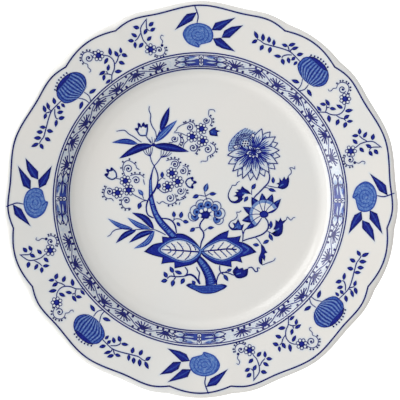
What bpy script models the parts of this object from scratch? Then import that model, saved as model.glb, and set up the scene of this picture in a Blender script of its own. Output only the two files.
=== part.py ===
"""A china dinner plate: a pressed porcelain body on a foot ring, and the coats of glaze fired onto it.

Metres, +Z up. The origin is the middle of the foot ring's contact face, on the table, and +Y points
to the crest of a long lobe of the scalloped edge.

The plate is one wall of even thickness, turned about Z. Its cross-section is worked out once, as
the line that the face of the glazed plate follows, and every surface lies at some depth under that
line: the glaze from depth 0 to GLAZE, the body from GLAZE + FIT_GAP. The dipped coat runs from the
foot ring's outer wall round the lip to the middle of the face. The foot ring's contact face is
wiped bare, so the coat on the underside within the ring is a separate piece. Each solid is spun
round, and its rim is then drawn in to the scalloped outline.
"""

import math

import bmesh
import bpy

# Sizes of the glazed plate, each set by itself.
PLATE_RADIUS = 0.125  # to the crest of a long lobe
WELL_RADIUS = 0.0728  # of the flat floor
SHOULDER_RUN = 0.0197  # level distance from the floor's edge to where the rim begins
WALL = 0.0048  # through the glazed wall, and the thickness of the full-round lip
COVE_BEND = 0.013  # radius of the bend from the floor up into the shoulder
VERGE_BEND = 0.0075  # radius of the bend from the shoulder out into the rim
EDGE_BEND = 0.03  # radius of the slight upturn near the lip
SHOULDER_SLOPE = math.radians(36)
RIM_SLOPE = math.radians(10)
EDGE_SLOPE = math.radians(15)

# The foot ring, measured over its glaze.
FOOT_HEIGHT = 0.003  # from the table to the plate's flat underside
FOOT_WIDTH = 0.0048
FOOT_SETBACK = 0.0016  # of its outer wall, inside the edge of the well's flat floor
FOOT_FILLET = 0.0012  # where its walls meet the underside
FOOT_CHAMFER = 0.0005  # on the bare contact face's two edges
WIPE_HEIGHT = 0.001  # the glaze is wiped off below this

# The glaze, and the clearance that keeps its solids clear of the body's.
GLAZE = 0.0003
FIT_GAP = 0.0003

# The scalloped edge: LOBES long lobes, with a short lobe between each two. Angles are from a long
# lobe's crest. Drops are how far each place of the outline lies inside the long lobe's crest, first
# where the lip starts to roll over, then at the softer outer edge.
LOBES = 5
SADDLE_ANGLE = math.radians(12.8)
HIP_ANGLE = math.radians(20.5)
NOTCH_ANGLE = math.radians(26.6)
ROLL_DROPS = {"saddle": 0.0024, "hip": 0.0013, "notch": 0.0035, "short_lobe": 0.0006}
EDGE_DROPS = {"saddle": 0.0019, "hip": 0.0008, "notch": 0.0018, "short_lobe": 0.0005}

# How finely the solids are faceted.
LONG_LOBE_COLUMNS = 4  # from a long lobe's crest to the notch
SHORT_LOBE_COLUMNS = 2  # from the notch to the short lobe's crest
COVE_STEPS = 3
VERGE_STEPS = 2
RIM_STEPS = 3
EDGE_STEPS = 1
LIP_STEPS = 4
FILLET_STEPS = 2

# Worked out from the sizes above.
FLOOR_HEIGHT = FOOT_HEIGHT + WALL
FOOT_RADIUS = WELL_RADIUS - FOOT_SETBACK
VERGE_RADIUS = WELL_RADIUS + SHOULDER_RUN
LIP_START = PLATE_RADIUS - (WALL / 2) * (1 + math.sin(EDGE_SLOPE))
WHOLE_TURN = 2 * math.pi
HALF_SECTOR = math.pi / LOBES
MERGE_DISTANCE = 1e-6

BODY_COLOUR = (0.80, 0.79, 0.76)
GLAZE_COLOUR = (0.74, 0.73, 0.71)


def face_line():
    """The face's line from the middle of the well to where the lip rolls over, as a list of
    ((radius, height), slope of the line there)."""
    line = [((0.0, FLOOR_HEIGHT), 0.0), ((WELL_RADIUS, FLOOR_HEIGHT), 0.0)]

    def run_to(radius, steps):
        """A straight stretch at the slope that the line has reached."""
        (start, height), slope = line[-1]
        for step in range(1, steps + 1):
            along = (radius - start) * step / steps
            line.append(((start + along, height + along * math.tan(slope)), slope))

    def bend_to(slope, bend, steps):
        """An arc from the slope that the line has reached to another."""
        (start, height), slope_before = line[-1]
        turn = math.copysign(bend, slope - slope_before)
        for step in range(1, steps + 1):
            angle = slope_before + (slope - slope_before) * step / steps
            radius = start + turn * (math.sin(angle) - math.sin(slope_before))
            rise = turn * (math.cos(slope_before) - math.cos(angle))
            line.append(((radius, height + rise), angle))

    verge_length = VERGE_BEND * (math.sin(SHOULDER_SLOPE) - math.sin(RIM_SLOPE))
    edge_length = EDGE_BEND * (math.sin(EDGE_SLOPE) - math.sin(RIM_SLOPE))
    bend_to(SHOULDER_SLOPE, COVE_BEND, COVE_STEPS)
    run_to(VERGE_RADIUS - verge_length, 1)
    bend_to(RIM_SLOPE, VERGE_BEND, VERGE_STEPS)
    run_to(LIP_START - edge_length, RIM_STEPS)
    bend_to(EDGE_SLOPE, EDGE_BEND, EDGE_STEPS)
    return line


def beneath(point, slope, depth):
    """The place at some depth under the face's line, square to it."""
    radius, height = point
    return (radius + depth * math.sin(slope), height - depth * math.cos(slope))


def wall_line(depth):
    """The line at some depth inside the glazed wall: out along the face, round the lip and in along
    the back, as far as the flat underside."""
    face = face_line()
    line = [(0.0, face[0][0][1] - depth)]
    line += [beneath(point, slope, depth) for point, slope in face[1:]]
    tip, slope = face[-1]
    centre = beneath(tip, slope, WALL / 2)
    reach = WALL / 2 - depth
    for step in range(1, LIP_STEPS + 1):
        angle = slope - math.pi * step / LIP_STEPS
        line.append((centre[0] - reach * math.sin(angle), centre[1] + reach * math.cos(angle)))
    back = [beneath(point, slope, WALL - depth) for point, slope in face[1:]]
    return line + back[-2::-1]


def foot_wall(radius, side, depth, bottom):
    """One wall of the foot ring at some depth, from the flat underside down to a height. Side is 1
    for the outer wall and -1 for the inner one."""
    underside = FLOOR_HEIGHT - WALL + depth
    wall = radius - side * depth
    fillet = FOOT_FILLET + depth
    line = []
    for step in range(FILLET_STEPS + 1):
        angle = math.pi / 2 * step / FILLET_STEPS
        across = fillet * (1 - math.sin(angle))
        line.append((wall + side * across, underside - fillet * (1 - math.cos(angle))))
    return line + [(wall, bottom)]


def outer_line(depth, bottom):
    """From the middle of the face, round the lip, to the foot of the foot ring's outer wall."""
    return wall_line(depth) + foot_wall(FOOT_RADIUS, 1, depth, bottom)


def inner_line(depth, bottom):
    """From the middle of the underside to the foot of the foot ring's inner wall."""
    middle = (0.0, FLOOR_HEIGHT - WALL + depth)
    return [middle] + foot_wall(FOOT_RADIUS - FOOT_WIDTH, -1, depth, bottom)


def coat_section(line_at):
    """The closed outline of a coat of glaze that follows one line."""
    return line_at(0.0, WIPE_HEIGHT) + line_at(GLAZE, WIPE_HEIGHT)[::-1]


def body_section():
    """The closed outline of the porcelain under the glaze, standing on its bare contact face."""
    depth = GLAZE + FIT_GAP
    outer = FOOT_RADIUS - depth
    inner = FOOT_RADIUS - FOOT_WIDTH + depth
    contact = [(outer - FOOT_CHAMFER, 0.0), (inner + FOOT_CHAMFER, 0.0)]
    return outer_line(depth, FOOT_CHAMFER) + contact + inner_line(depth, FOOT_CHAMFER)[::-1]


def eased(share):
    """From 0 to 1 with no slope at either end."""
    share = min(max(share, 0.0), 1.0)
    return share * share * (3 - 2 * share)


def outline_drop(angle, drops):
    """How far the outline lies inside a long lobe's crest, at an angle from that crest."""
    from_crest = abs((angle + HALF_SECTOR) % (2 * HALF_SECTOR) - HALF_SECTOR)

    def share(start, end):
        return (from_crest - start) / (end - start)

    if from_crest < SADDLE_ANGLE:
        return drops["saddle"] * eased(share(0.0, SADDLE_ANGLE))
    if from_crest < HIP_ANGLE:
        back = drops["saddle"] - drops["hip"]
        return drops["saddle"] - back * eased(share(SADDLE_ANGLE, HIP_ANGLE))
    if from_crest < NOTCH_ANGLE:
        fall = drops["notch"] - drops["hip"]
        return drops["hip"] + fall * (1 - math.cos(math.pi / 2 * share(HIP_ANGLE, NOTCH_ANGLE)))
    rise = drops["notch"] - drops["short_lobe"]
    return drops["notch"] - rise * math.sin(math.pi / 2 * share(NOTCH_ANGLE, HALF_SECTOR))


def scalloped(radius, angle):
    """The radius that a point of the plain turned plate moves to."""
    at_roll = outline_drop(angle, ROLL_DROPS)
    at_edge = outline_drop(angle, EDGE_DROPS)
    over_rim = eased((radius - VERGE_RADIUS) / (LIP_START - VERGE_RADIUS))
    over_lip = eased((radius - LIP_START) / (PLATE_RADIUS - LIP_START))
    return radius - over_rim * (at_roll + over_lip * (at_edge - at_roll))


def column_angle(even_angle):
    """Moves the evenly spun columns so that one falls on every crest and notch."""
    columns = LONG_LOBE_COLUMNS + SHORT_LOBE_COLUMNS
    sector = round(even_angle / (2 * HALF_SECTOR))
    offset = even_angle - sector * 2 * HALF_SECTOR
    place = abs(offset) / HALF_SECTOR * columns
    if place < LONG_LOBE_COLUMNS:
        moved = NOTCH_ANGLE * place / LONG_LOBE_COLUMNS
    else:
        beyond = (place - LONG_LOBE_COLUMNS) / SHORT_LOBE_COLUMNS
        moved = NOTCH_ANGLE + (HALF_SECTOR - NOTCH_ANGLE) * beyond
    return sector * 2 * HALF_SECTOR + math.copysign(moved, offset)


def glazed_ware(name, colour, roughness):
    """A ceramic surface."""
    material = bpy.data.materials.new(name)
    material.use_nodes = True
    shader = material.node_tree.nodes["Principled BSDF"]
    shader.inputs["Base Color"].default_value = (*colour, 1.0)
    shader.inputs["Roughness"].default_value = roughness
    shader.inputs["Metallic"].default_value = 0.0
    return material


def turned_solid(name, section, material):
    """Spins a closed section about Z, starting at the long lobe on +Y, and scallops its rim."""
    shape = bmesh.new()
    corners = [shape.verts.new((0.0, radius, height)) for radius, height in section]
    for corner, following in zip(corners, corners[1:]):
        shape.edges.new((corner, following))
    if section[-1][0] > 0:
        shape.edges.new((corners[-1], corners[0]))
    bmesh.ops.spin(
        shape,
        geom=shape.verts[:] + shape.edges[:],
        cent=(0, 0, 0),
        axis=(0, 0, 1),
        angle=WHOLE_TURN,
        steps=2 * LOBES * (LONG_LOBE_COLUMNS + SHORT_LOBE_COLUMNS),
    )
    bmesh.ops.remove_doubles(shape, verts=shape.verts[:], dist=MERGE_DISTANCE)
    for vertex in shape.verts:
        even_angle = math.atan2(vertex.co.x, vertex.co.y)
        angle = column_angle(even_angle)
        radius = scalloped(math.hypot(vertex.co.x, vertex.co.y), angle)
        vertex.co.x = radius * math.sin(angle)
        vertex.co.y = radius * math.cos(angle)
    bmesh.ops.recalc_face_normals(shape, faces=shape.faces[:])
    mesh = bpy.data.meshes.new(name)
    shape.to_mesh(mesh)
    shape.free()
    mesh.materials.append(material)
    mesh.shade_smooth()
    mesh.set_sharp_from_angle(angle=math.radians(40))
    solid = bpy.data.objects.new(name, mesh)
    bpy.context.scene.collection.objects.link(solid)
    return solid


def main():
    for obj in list(bpy.data.objects):
        bpy.data.objects.remove(obj)
    porcelain = glazed_ware("porcelain", BODY_COLOUR, 0.55)
    glaze = glazed_ware("glaze", GLAZE_COLOUR, 0.08)
    turned_solid("porcelain_body", body_section(), porcelain)
    turned_solid("glaze_coat", coat_section(outer_line), glaze)
    turned_solid("foot_well_glaze", coat_section(inner_line), glaze)


main()
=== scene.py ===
"""A scalloped china dinner plate: a glazed porcelain body and the flowers painted on it in cobalt.

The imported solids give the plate's place and size. Each is replaced by a finer piece with the same
sizes, and the painting is laid on the face as thin sheets of pigment, a few hundredths of a
millimetre above the glaze. The painting is set out in millimetres from the middle of the plate,
with X to the right and Y up, on a plate of NOMINAL_RADIUS.
"""

import bisect
import itertools
import logging
import math
from collections.abc import Callable, Iterable, Iterator, Sequence
from dataclasses import dataclass, field, replace
from enum import Enum, IntEnum

import bpy
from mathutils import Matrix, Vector
from mathutils.kdtree import KDTree


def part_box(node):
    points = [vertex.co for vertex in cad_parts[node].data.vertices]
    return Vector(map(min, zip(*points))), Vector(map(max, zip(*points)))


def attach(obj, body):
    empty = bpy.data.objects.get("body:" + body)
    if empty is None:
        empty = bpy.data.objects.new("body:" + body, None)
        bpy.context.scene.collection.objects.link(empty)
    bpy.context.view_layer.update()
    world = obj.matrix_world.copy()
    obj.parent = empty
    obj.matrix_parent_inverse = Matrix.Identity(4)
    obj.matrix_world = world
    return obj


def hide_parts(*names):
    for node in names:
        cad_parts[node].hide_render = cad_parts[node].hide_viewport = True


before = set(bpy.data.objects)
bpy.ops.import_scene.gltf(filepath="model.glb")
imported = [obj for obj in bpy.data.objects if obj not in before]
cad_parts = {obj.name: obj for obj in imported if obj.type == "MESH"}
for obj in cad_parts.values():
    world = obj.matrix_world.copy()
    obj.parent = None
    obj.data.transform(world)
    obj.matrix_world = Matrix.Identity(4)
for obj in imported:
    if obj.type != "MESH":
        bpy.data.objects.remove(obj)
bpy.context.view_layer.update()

BODY = "root"
MM = 0.001
NOMINAL_RADIUS = 125.0
LOG = logging.getLogger("plate")

Point = tuple[float, float]
Dab = tuple[float, float, float]

# ---------------------------------------------------------------- brushwork


class Layer(IntEnum):
    """The order in which the pigment is laid on, from the glaze upwards."""

    WASH = 0
    FILL = 1
    LINE = 2
    OVER = 3
    DETAIL = 4
    TOP = 5
    CREST = 6


class Tone:
    """How much cobalt a mark holds, from bare glaze at 0 to nearly black at 1."""

    MIST = 0.1
    LINE = 0.98
    INK = 1.0


@dataclass(frozen=True)
class Sheet:
    """A patch of pigment: rows of dabs, each an x, a y and a tone, joined to the next row.

    A row of one dab is a point that the next row fans out from.
    """

    rows: list[list[Dab]]
    layer: Layer
    wraps: bool = False


def between(start: Point, end: Point, share: float) -> Point:
    """A place on the straight line between two others."""
    return (start[0] + (end[0] - start[0]) * share, start[1] + (end[1] - start[1]) * share)


def shifted(place: Point, way: Point, by: float) -> Point:
    """A place moved by a distance in a direction."""
    return (place[0] + way[0] * by, place[1] + way[1] * by)


def around(centre: Point, radius: float, degrees: float, squash: float = 1.0) -> Point:
    """A place on a circle, or on one that is squashed in height."""
    angle = math.radians(degrees)
    return (centre[0] + radius * math.cos(angle), centre[1] + radius * squash * math.sin(angle))


def flow(points: Sequence[Point], spacing: float = 0.7) -> list[Point]:
    """A smooth curve through points, as a brush would join them.

    Args:
        points: two or more places that the curve passes through.
        spacing: the distance between the places that are returned.

    Returns:
        Places along the curve, the first and the last point among them.
    """
    if len(points) == 2:
        steps = max(2, round(math.dist(*points) / spacing))
        return [between(points[0], points[1], step / steps) for step in range(steps + 1)]
    before = between(points[1], points[0], 2.0)
    after = between(points[-2], points[-1], 2.0)
    if math.dist(points[0], points[-1]) < 1e-6:
        before, after = points[-2], points[1]
    knots = [before, *points, after]
    curve = [points[0]]
    for p0, p1, p2, p3 in zip(knots, knots[1:], knots[2:], knots[3:]):
        gaps = [max(math.sqrt(math.dist(a, b)), 1e-3) for a, b in ((p0, p1), (p1, p2), (p2, p3))]
        slopes = []
        for axis in (0, 1):
            run = (p2[axis] - p1[axis]) / gaps[1]
            entry = (p1[axis] - p0[axis]) / gaps[0] - (p2[axis] - p0[axis]) / (gaps[0] + gaps[1]) + run
            leave = run - (p3[axis] - p1[axis]) / (gaps[1] + gaps[2]) + (p3[axis] - p2[axis]) / gaps[2]
            slopes.append((gaps[1] * entry, gaps[1] * leave))
        steps = max(2, round(math.dist(p1, p2) / spacing))
        for step in range(1, steps + 1):
            t = step / steps
            weights = (2 * t**3 - 3 * t**2 + 1, 3 * t**2 - 2 * t**3, t**3 - 2 * t**2 + t, t**3 - t**2)
            place = [
                weights[0] * p1[axis] + weights[1] * p2[axis]
                + weights[2] * slopes[axis][0] + weights[3] * slopes[axis][1]
                for axis in (0, 1)
            ]
            curve.append((place[0], place[1]))
    return curve


def outline(runs: Iterable[Sequence[Point]]) -> list[Point]:
    """Smooth runs joined end to end, with a corner at each join.

    Args:
        runs: each goes on from the last point of the run before it.

    Returns:
        Places along the whole line.
    """
    line: list[Point] = []
    for run in runs:
        points = [*line[-1:], *run]
        line += flow(points)[1:] if line else (flow(points) if len(points) > 1 else list(points))
    return line


def sideways(path: Sequence[Point], index: int) -> Point:
    """The direction to the left of a path.

    Args:
        path: places along the path.
        index: which of them.

    Returns:
        A direction of length 1.
    """
    behind, ahead = path[max(index - 1, 0)], path[min(index + 1, len(path) - 1)]
    length = math.dist(behind, ahead) or 1.0
    return (-(ahead[1] - behind[1]) / length, (ahead[0] - behind[0]) / length)


def ribbon(
    path: Sequence[Point], half_widths: Sequence[float], profile: Sequence[tuple[float, float]], layer: Layer
) -> Sheet:
    """A strip of pigment along a path.

    Args:
        path: its middle line.
        half_widths: half its width at each place of the path.
        profile: across the strip, each place as (-1 to 1, tone).
        layer: where it lies among the others.

    Returns:
        The strip.
    """
    rows = []
    for index, (place, half) in enumerate(zip(path, half_widths)):
        if half < 0.01:
            rows.append([(*place, profile[0][1])])
            continue
        side = sideways(path, index)
        rows.append([
            (place[0] + side[0] * half * at, place[1] + side[1] * half * at, tone) for at, tone in profile
        ])
    return Sheet(rows, layer)


@dataclass(frozen=True)
class Stroke:
    """One pull of a fine brush, thickest near its middle."""

    points: Sequence[Point]
    width: float = 0.5
    ends: tuple[float, float] = (0.7, 0.7)
    tone: float = Tone.LINE
    layer: Layer = Layer.LINE

    def sheets(self) -> list[Sheet]:
        """The pigment that the stroke leaves.

        Returns:
            One strip.
        """
        path = flow(self.points)
        last = len(path) - 1
        halves = []
        for index in range(len(path)):
            share = index / last
            end = self.ends[0] if share < 0.5 else self.ends[1]
            fullness = math.sin(math.pi * share) ** 0.6 if 0 < index < last else 0.0
            halves.append(self.width / 2 * (end + (1 - end) * fullness))
        profile = [(-1.0, self.tone * 0.86), (0.0, self.tone), (1.0, self.tone * 0.86)]
        return [ribbon(path, halves, profile, self.layer)]


@dataclass(frozen=True)
class LeafLook:
    """The tones across a leaf, from its edge to its heart."""

    rim: float
    core: float


DARK = LeafLook(0.97, 0.83)
STEEL = LeafLook(0.76, 0.47)
SPRIG = LeafLook(1.0, 0.8)
SOFT = LeafLook(1.0, 0.72)


@dataclass(frozen=True)
class Leaf:
    """A leaf with a point at both ends, painted darker round its edge."""

    points: Sequence[Point]
    width: float
    look: LeafLook = SPRIG
    belly: float = 0.45
    layer: Layer = Layer.FILL

    def sheets(self) -> list[Sheet]:
        """The pigment of the leaf.

        Returns:
            One strip, as wide as the leaf.
        """
        path = flow(self.points, 0.6)
        power = math.log(0.5) / math.log(self.belly)
        halves = []
        for index in range(len(path)):
            share = index / (len(path) - 1)
            halves.append(self.width / 2 * max(math.sin(math.pi * share**power), 0.0) ** 0.85)
        rim, core = self.look.rim, self.look.core
        profile = [(-1.0, rim), (-0.7, rim), (-0.35, core), (0.25, core), (0.7, rim), (1.0, rim)]
        return [ribbon(path, halves, profile, self.layer)]


@dataclass(frozen=True)
class Trunk:
    """A jointed stem that changes width, with darker bars across it."""

    points: Sequence[Point]
    widths: Sequence[float]
    bars: Sequence[float]
    look: LeafLook = LeafLook(0.88, 0.5)
    layer: Layer = Layer.FILL

    def sheets(self) -> list[Sheet]:
        """The stem and its bars.

        Returns:
            One strip, then one for each bar.
        """
        path = flow(self.points)
        spans = len(self.widths) - 1
        halves = []
        for index in range(len(path)):
            place = index / (len(path) - 1) * spans
            knot = min(int(place), spans - 1)
            width = self.widths[knot] + (self.widths[knot + 1] - self.widths[knot]) * (place - knot)
            halves.append(width / 2)
        rim, core = self.look.rim, self.look.core
        profile = [(-1.0, rim), (-0.62, rim), (-0.3, core), (0.3, core), (0.62, rim), (1.0, rim)]
        sheets = [ribbon(path, halves, profile, self.layer)]
        for bar in self.bars:
            index = round(bar * (len(path) - 1))
            side, ahead = sideways(path, index), path[min(index + 1, len(path) - 1)]
            reach = halves[index] * 0.85
            bar_line = [shifted(path[index], side, reach), ahead, shifted(path[index], side, -reach)]
            sheets += Stroke(bar_line, 0.7, (0.5, 0.5), 0.8, Layer(self.layer + 1)).sheets()
        return sheets


@dataclass(frozen=True)
class Blob:
    """A filled shape whose whole edge can be seen from its heart."""

    runs: Sequence[Sequence[Point]]
    heart: Point
    rim: float = 0.98
    core: float = 0.8
    layer: Layer = Layer.FILL
    border: float = 0.72

    def sheets(self) -> list[Sheet]:
        """The pigment of the shape.

        Returns:
            One patch, in rings round the heart.
        """
        line = outline(self.runs)
        if math.dist(line[0], line[-1]) < 1e-6:
            line = line[:-1]
        rows: list[list[Dab]] = [[(*self.heart, self.core)]]
        soft = (self.border + 1) / 2
        for share, tone in ((0.35, self.core), (self.border, self.core), (soft, self.rim), (1.0, self.rim)):
            rows.append([(*between(self.heart, place, share), tone) for place in line])
        return [Sheet(rows, self.layer, wraps=True)]


@dataclass(frozen=True)
class Disc:
    """A round or oval dab."""

    centre: Point
    radius: float
    rim: float = Tone.INK
    core: float = Tone.INK
    squash: float = 1.0
    layer: Layer = Layer.LINE

    def sheets(self) -> list[Sheet]:
        """The pigment of the dab.

        Returns:
            One patch, in rings.
        """
        sides = 8 if self.radius < 0.7 else 14
        rows: list[list[Dab]] = [[(*self.centre, self.core)]]
        shares = ((1.0, self.rim),) if self.radius < 0.7 else ((0.6, self.core), (1.0, self.rim))
        for share, tone in shares:
            ring = [
                around(self.centre, self.radius * share, 360 * k / sides, self.squash) for k in range(sides)
            ]
            rows.append([(*place, tone) for place in ring])
        return [Sheet(rows, self.layer, wraps=True)]


@dataclass(frozen=True)
class Ring:
    """A round or oval line."""

    centre: Point
    radius: float
    width: float = 0.35
    tone: float = Tone.LINE
    squash: float = 1.0
    span: tuple[float, float] = (0.0, 360.0)
    layer: Layer = Layer.LINE

    def sheets(self) -> list[Sheet]:
        """The pigment of the line.

        Returns:
            One strip, from the start of the span to its end.
        """
        turn = self.span[1] - self.span[0]
        steps = max(6, round(self.radius * math.radians(turn) / 0.6))
        path = [
            around(self.centre, self.radius, self.span[0] + turn * k / steps, self.squash)
            for k in range(steps + 1)
        ]
        profile = [(-1.0, self.tone * 0.86), (1.0, self.tone)]
        return [ribbon(path, [self.width / 2] * len(path), profile, self.layer)]


@dataclass(frozen=True)
class Strip:
    """The area between two lines that run side by side."""

    first: Sequence[Point]
    second: Sequence[Point]
    tones: tuple[float, float]
    layer: Layer = Layer.FILL
    spans: int = 3

    def sheets(self) -> list[Sheet]:
        """The pigment of the area.

        Returns:
            One patch.
        """
        rows = []
        for start, end in zip(self.first, self.second):
            shares = [k / self.spans for k in range(self.spans + 1)]
            low, high = self.tones
            rows.append([(*between(start, end, share), low + (high - low) * share) for share in shares])
        return [Sheet(rows, self.layer)]


@dataclass(frozen=True)
class Hoop:
    """A line right round the plate, which may follow the scalloped edge."""

    radius: float
    width: float
    follows: bool = False
    tone: float = 0.98
    layer: Layer = Layer.LINE
    steps: int = 500

    def sheets(self) -> list[Sheet]:
        """The pigment of the line.

        Returns:
            One closed strip.
        """
        rows = []
        for k in range(self.steps + 1):
            angle = 2 * math.pi * k / self.steps
            radius = WARE.scalloped(self.radius, angle) if self.follows else self.radius
            dabs = []
            for at in (-1, 0, 1):
                reach = radius + at * self.width / 2
                tone = self.tone * (1 - 0.1 * abs(at))
                dabs.append((reach * math.sin(angle), reach * math.cos(angle), tone))
            rows.append(dabs)
        return [Sheet(rows, self.layer)]


Mark = Stroke | Leaf | Trunk | Blob | Disc | Ring | Strip | Hoop


def arc(centre: Point, radius: float, start: float, end: float, steps: int = 24) -> list[Point]:
    """Places along an arc."""
    return [around(centre, radius, start + (end - start) * k / steps) for k in range(steps + 1)]


def pearl(centre: Point, radius: float) -> list[Mark]:
    """A small round petal left nearly white inside a fine line.

    Args:
        centre: its centre.
        radius: its outer radius.

    Returns:
        Its marks.
    """
    return [
        Disc(centre, radius, 0.3, Tone.MIST, layer=Layer.FILL),
        Ring(centre, radius, 0.48, Tone.INK, layer=Layer.LINE),
    ]


def rosette(centre: Point, petals: int = 7, reach: float = 2.55, pearls: float = 1.02) -> list[Mark]:
    """A small flower: a dark star with a ring of pale petals.

    Args:
        centre: its centre.
        petals: how many petals.
        reach: from its centre to a petal's.
        pearls: a petal's radius.

    Returns:
        Its marks.
    """
    marks: list[Mark] = []
    for k in range(petals):
        marks += pearl(around(centre, reach, 360 * k / petals), pearls)
    marks.append(Disc(centre, reach * 0.62, 1.0, 0.8, layer=Layer.OVER))
    for k in range(petals):
        gap = 360 * (k + 0.5) / petals
        ray = [around(centre, reach * share, gap) for share in (0.4, 0.95)]
        marks.append(Stroke(ray, 0.7, (1.2, 0.4)))
    return marks


def scroll(centre: Point, radius: float, end: float, turns: float = 1.6, width: float = 0.62) -> list[Mark]:
    """A coiled tendril with a dot at its heart.

    Args:
        centre: the heart.
        radius: how far out the coil reaches.
        end: the direction of its outer end, in degrees.
        turns: how many turns it makes, anticlockwise outwards, or clockwise when negative.
        width: the line's width.

    Returns:
        Its marks.
    """
    steps = max(8, round(abs(turns) * 10))
    coil = []
    for k in range(steps + 1):
        share = k / steps
        coil.append(around(centre, radius * (0.1 + share), end - turns * 360 * (1 - share)))
    return [Stroke(coil, width, (1.0, 0.8)), Disc(centre, 0.58)]


def fringe(
    points: Sequence[Point], dots: int, side: float = 1.0, reach: float = 1.0, width: float = 0.56
) -> list[Mark]:
    """A curved line with dots on short stalks along one side.

    Args:
        points: the line's places.
        dots: how many dots.
        side: 1 puts them on the left of the line, -1 on the right.
        reach: how far off the line they stand.
        width: the line's width.

    Returns:
        Its marks.
    """
    marks: list[Mark] = [Stroke(points, width, (0.8, 0.8))]
    path = flow(points)
    for k in range(dots):
        index = round((k + 0.5) / dots * (len(path) - 1))
        along = sideways(path, index)
        foot = path[index]
        head = shifted(foot, along, side * reach)
        marks += [Stroke([foot, head], 0.4), Disc(head, 0.6)]
    return marks


def bud(runs: Sequence[Sequence[Point]], heart: Point, width: float = 1.0) -> list[Mark]:
    """A tulip bud left pale inside a firm outline.

    Args:
        runs: its outline.
        heart: a place inside.
        width: the outline's width.

    Returns:
        Its marks.
    """
    marks: list[Mark] = [Blob(runs, heart, 0.34, 0.05, border=0.62)]
    last: list[Point] = []
    for run in runs:
        points = [*last, *run]
        if len(points) > 1:
            marks.append(Stroke(points, width, (1.0, 1.0), Tone.INK))
        last = [run[-1]]
    far = sum(math.dist(heart, run[-1]) for run in runs) / len(runs)
    for run in runs:
        if math.dist(heart, run[-1]) > far:
            marks.append(Stroke([run[-1], between(run[-1], heart, 0.5)], 2.0, (0.3, 0.3), Tone.INK))
    return marks


def petal(base: Point, tip: Point, width: float, hatch: int = 3) -> list[Mark]:
    """A pointed petal, pale with a firm outline and hatched towards its base.

    Args:
        base: where it leaves the flower.
        tip: its point.
        width: across its widest place.
        hatch: how many strokes shade it.

    Returns:
        Its marks.
    """
    across = sideways([base, tip], 0)
    middle = between(base, tip, 0.55)
    marks: list[Mark] = [
        Leaf([base, tip], width, LeafLook(0.24, 0.1), 0.58),
        Leaf([base, between(base, tip, 0.62)], width * 0.62, LeafLook(0.28, 0.36), 0.4),
    ]
    for side in (-1.0, 1.0):
        marks.append(Stroke([base, shifted(middle, across, side * width / 2), tip], 0.56, (1.0, 1.1)))
    for k in range(hatch):
        offset = (k - (hatch - 1) / 2) * width * 0.24
        start = shifted(base, across, offset * 0.5)
        end = shifted(between(base, tip, 0.66 - 0.1 * abs(k - (hatch - 1) / 2)), across, offset)
        marks.append(Stroke([start, between(start, end, 0.6), end], 0.62, (1.5, 0.3), 0.88))
    return marks


# ---------------------------------------------------------------- the ware


def eased(share: float) -> float:
    """From 0 to 1 with no slope at either end."""
    share = min(max(share, 0.0), 1.0)
    return share * share * (3 - 2 * share)


@dataclass(frozen=True)
class Drops:
    """How far the outline lies inside a long lobe's crest, in millimetres."""

    saddle: float
    hip: float
    notch: float
    short_lobe: float


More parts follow.
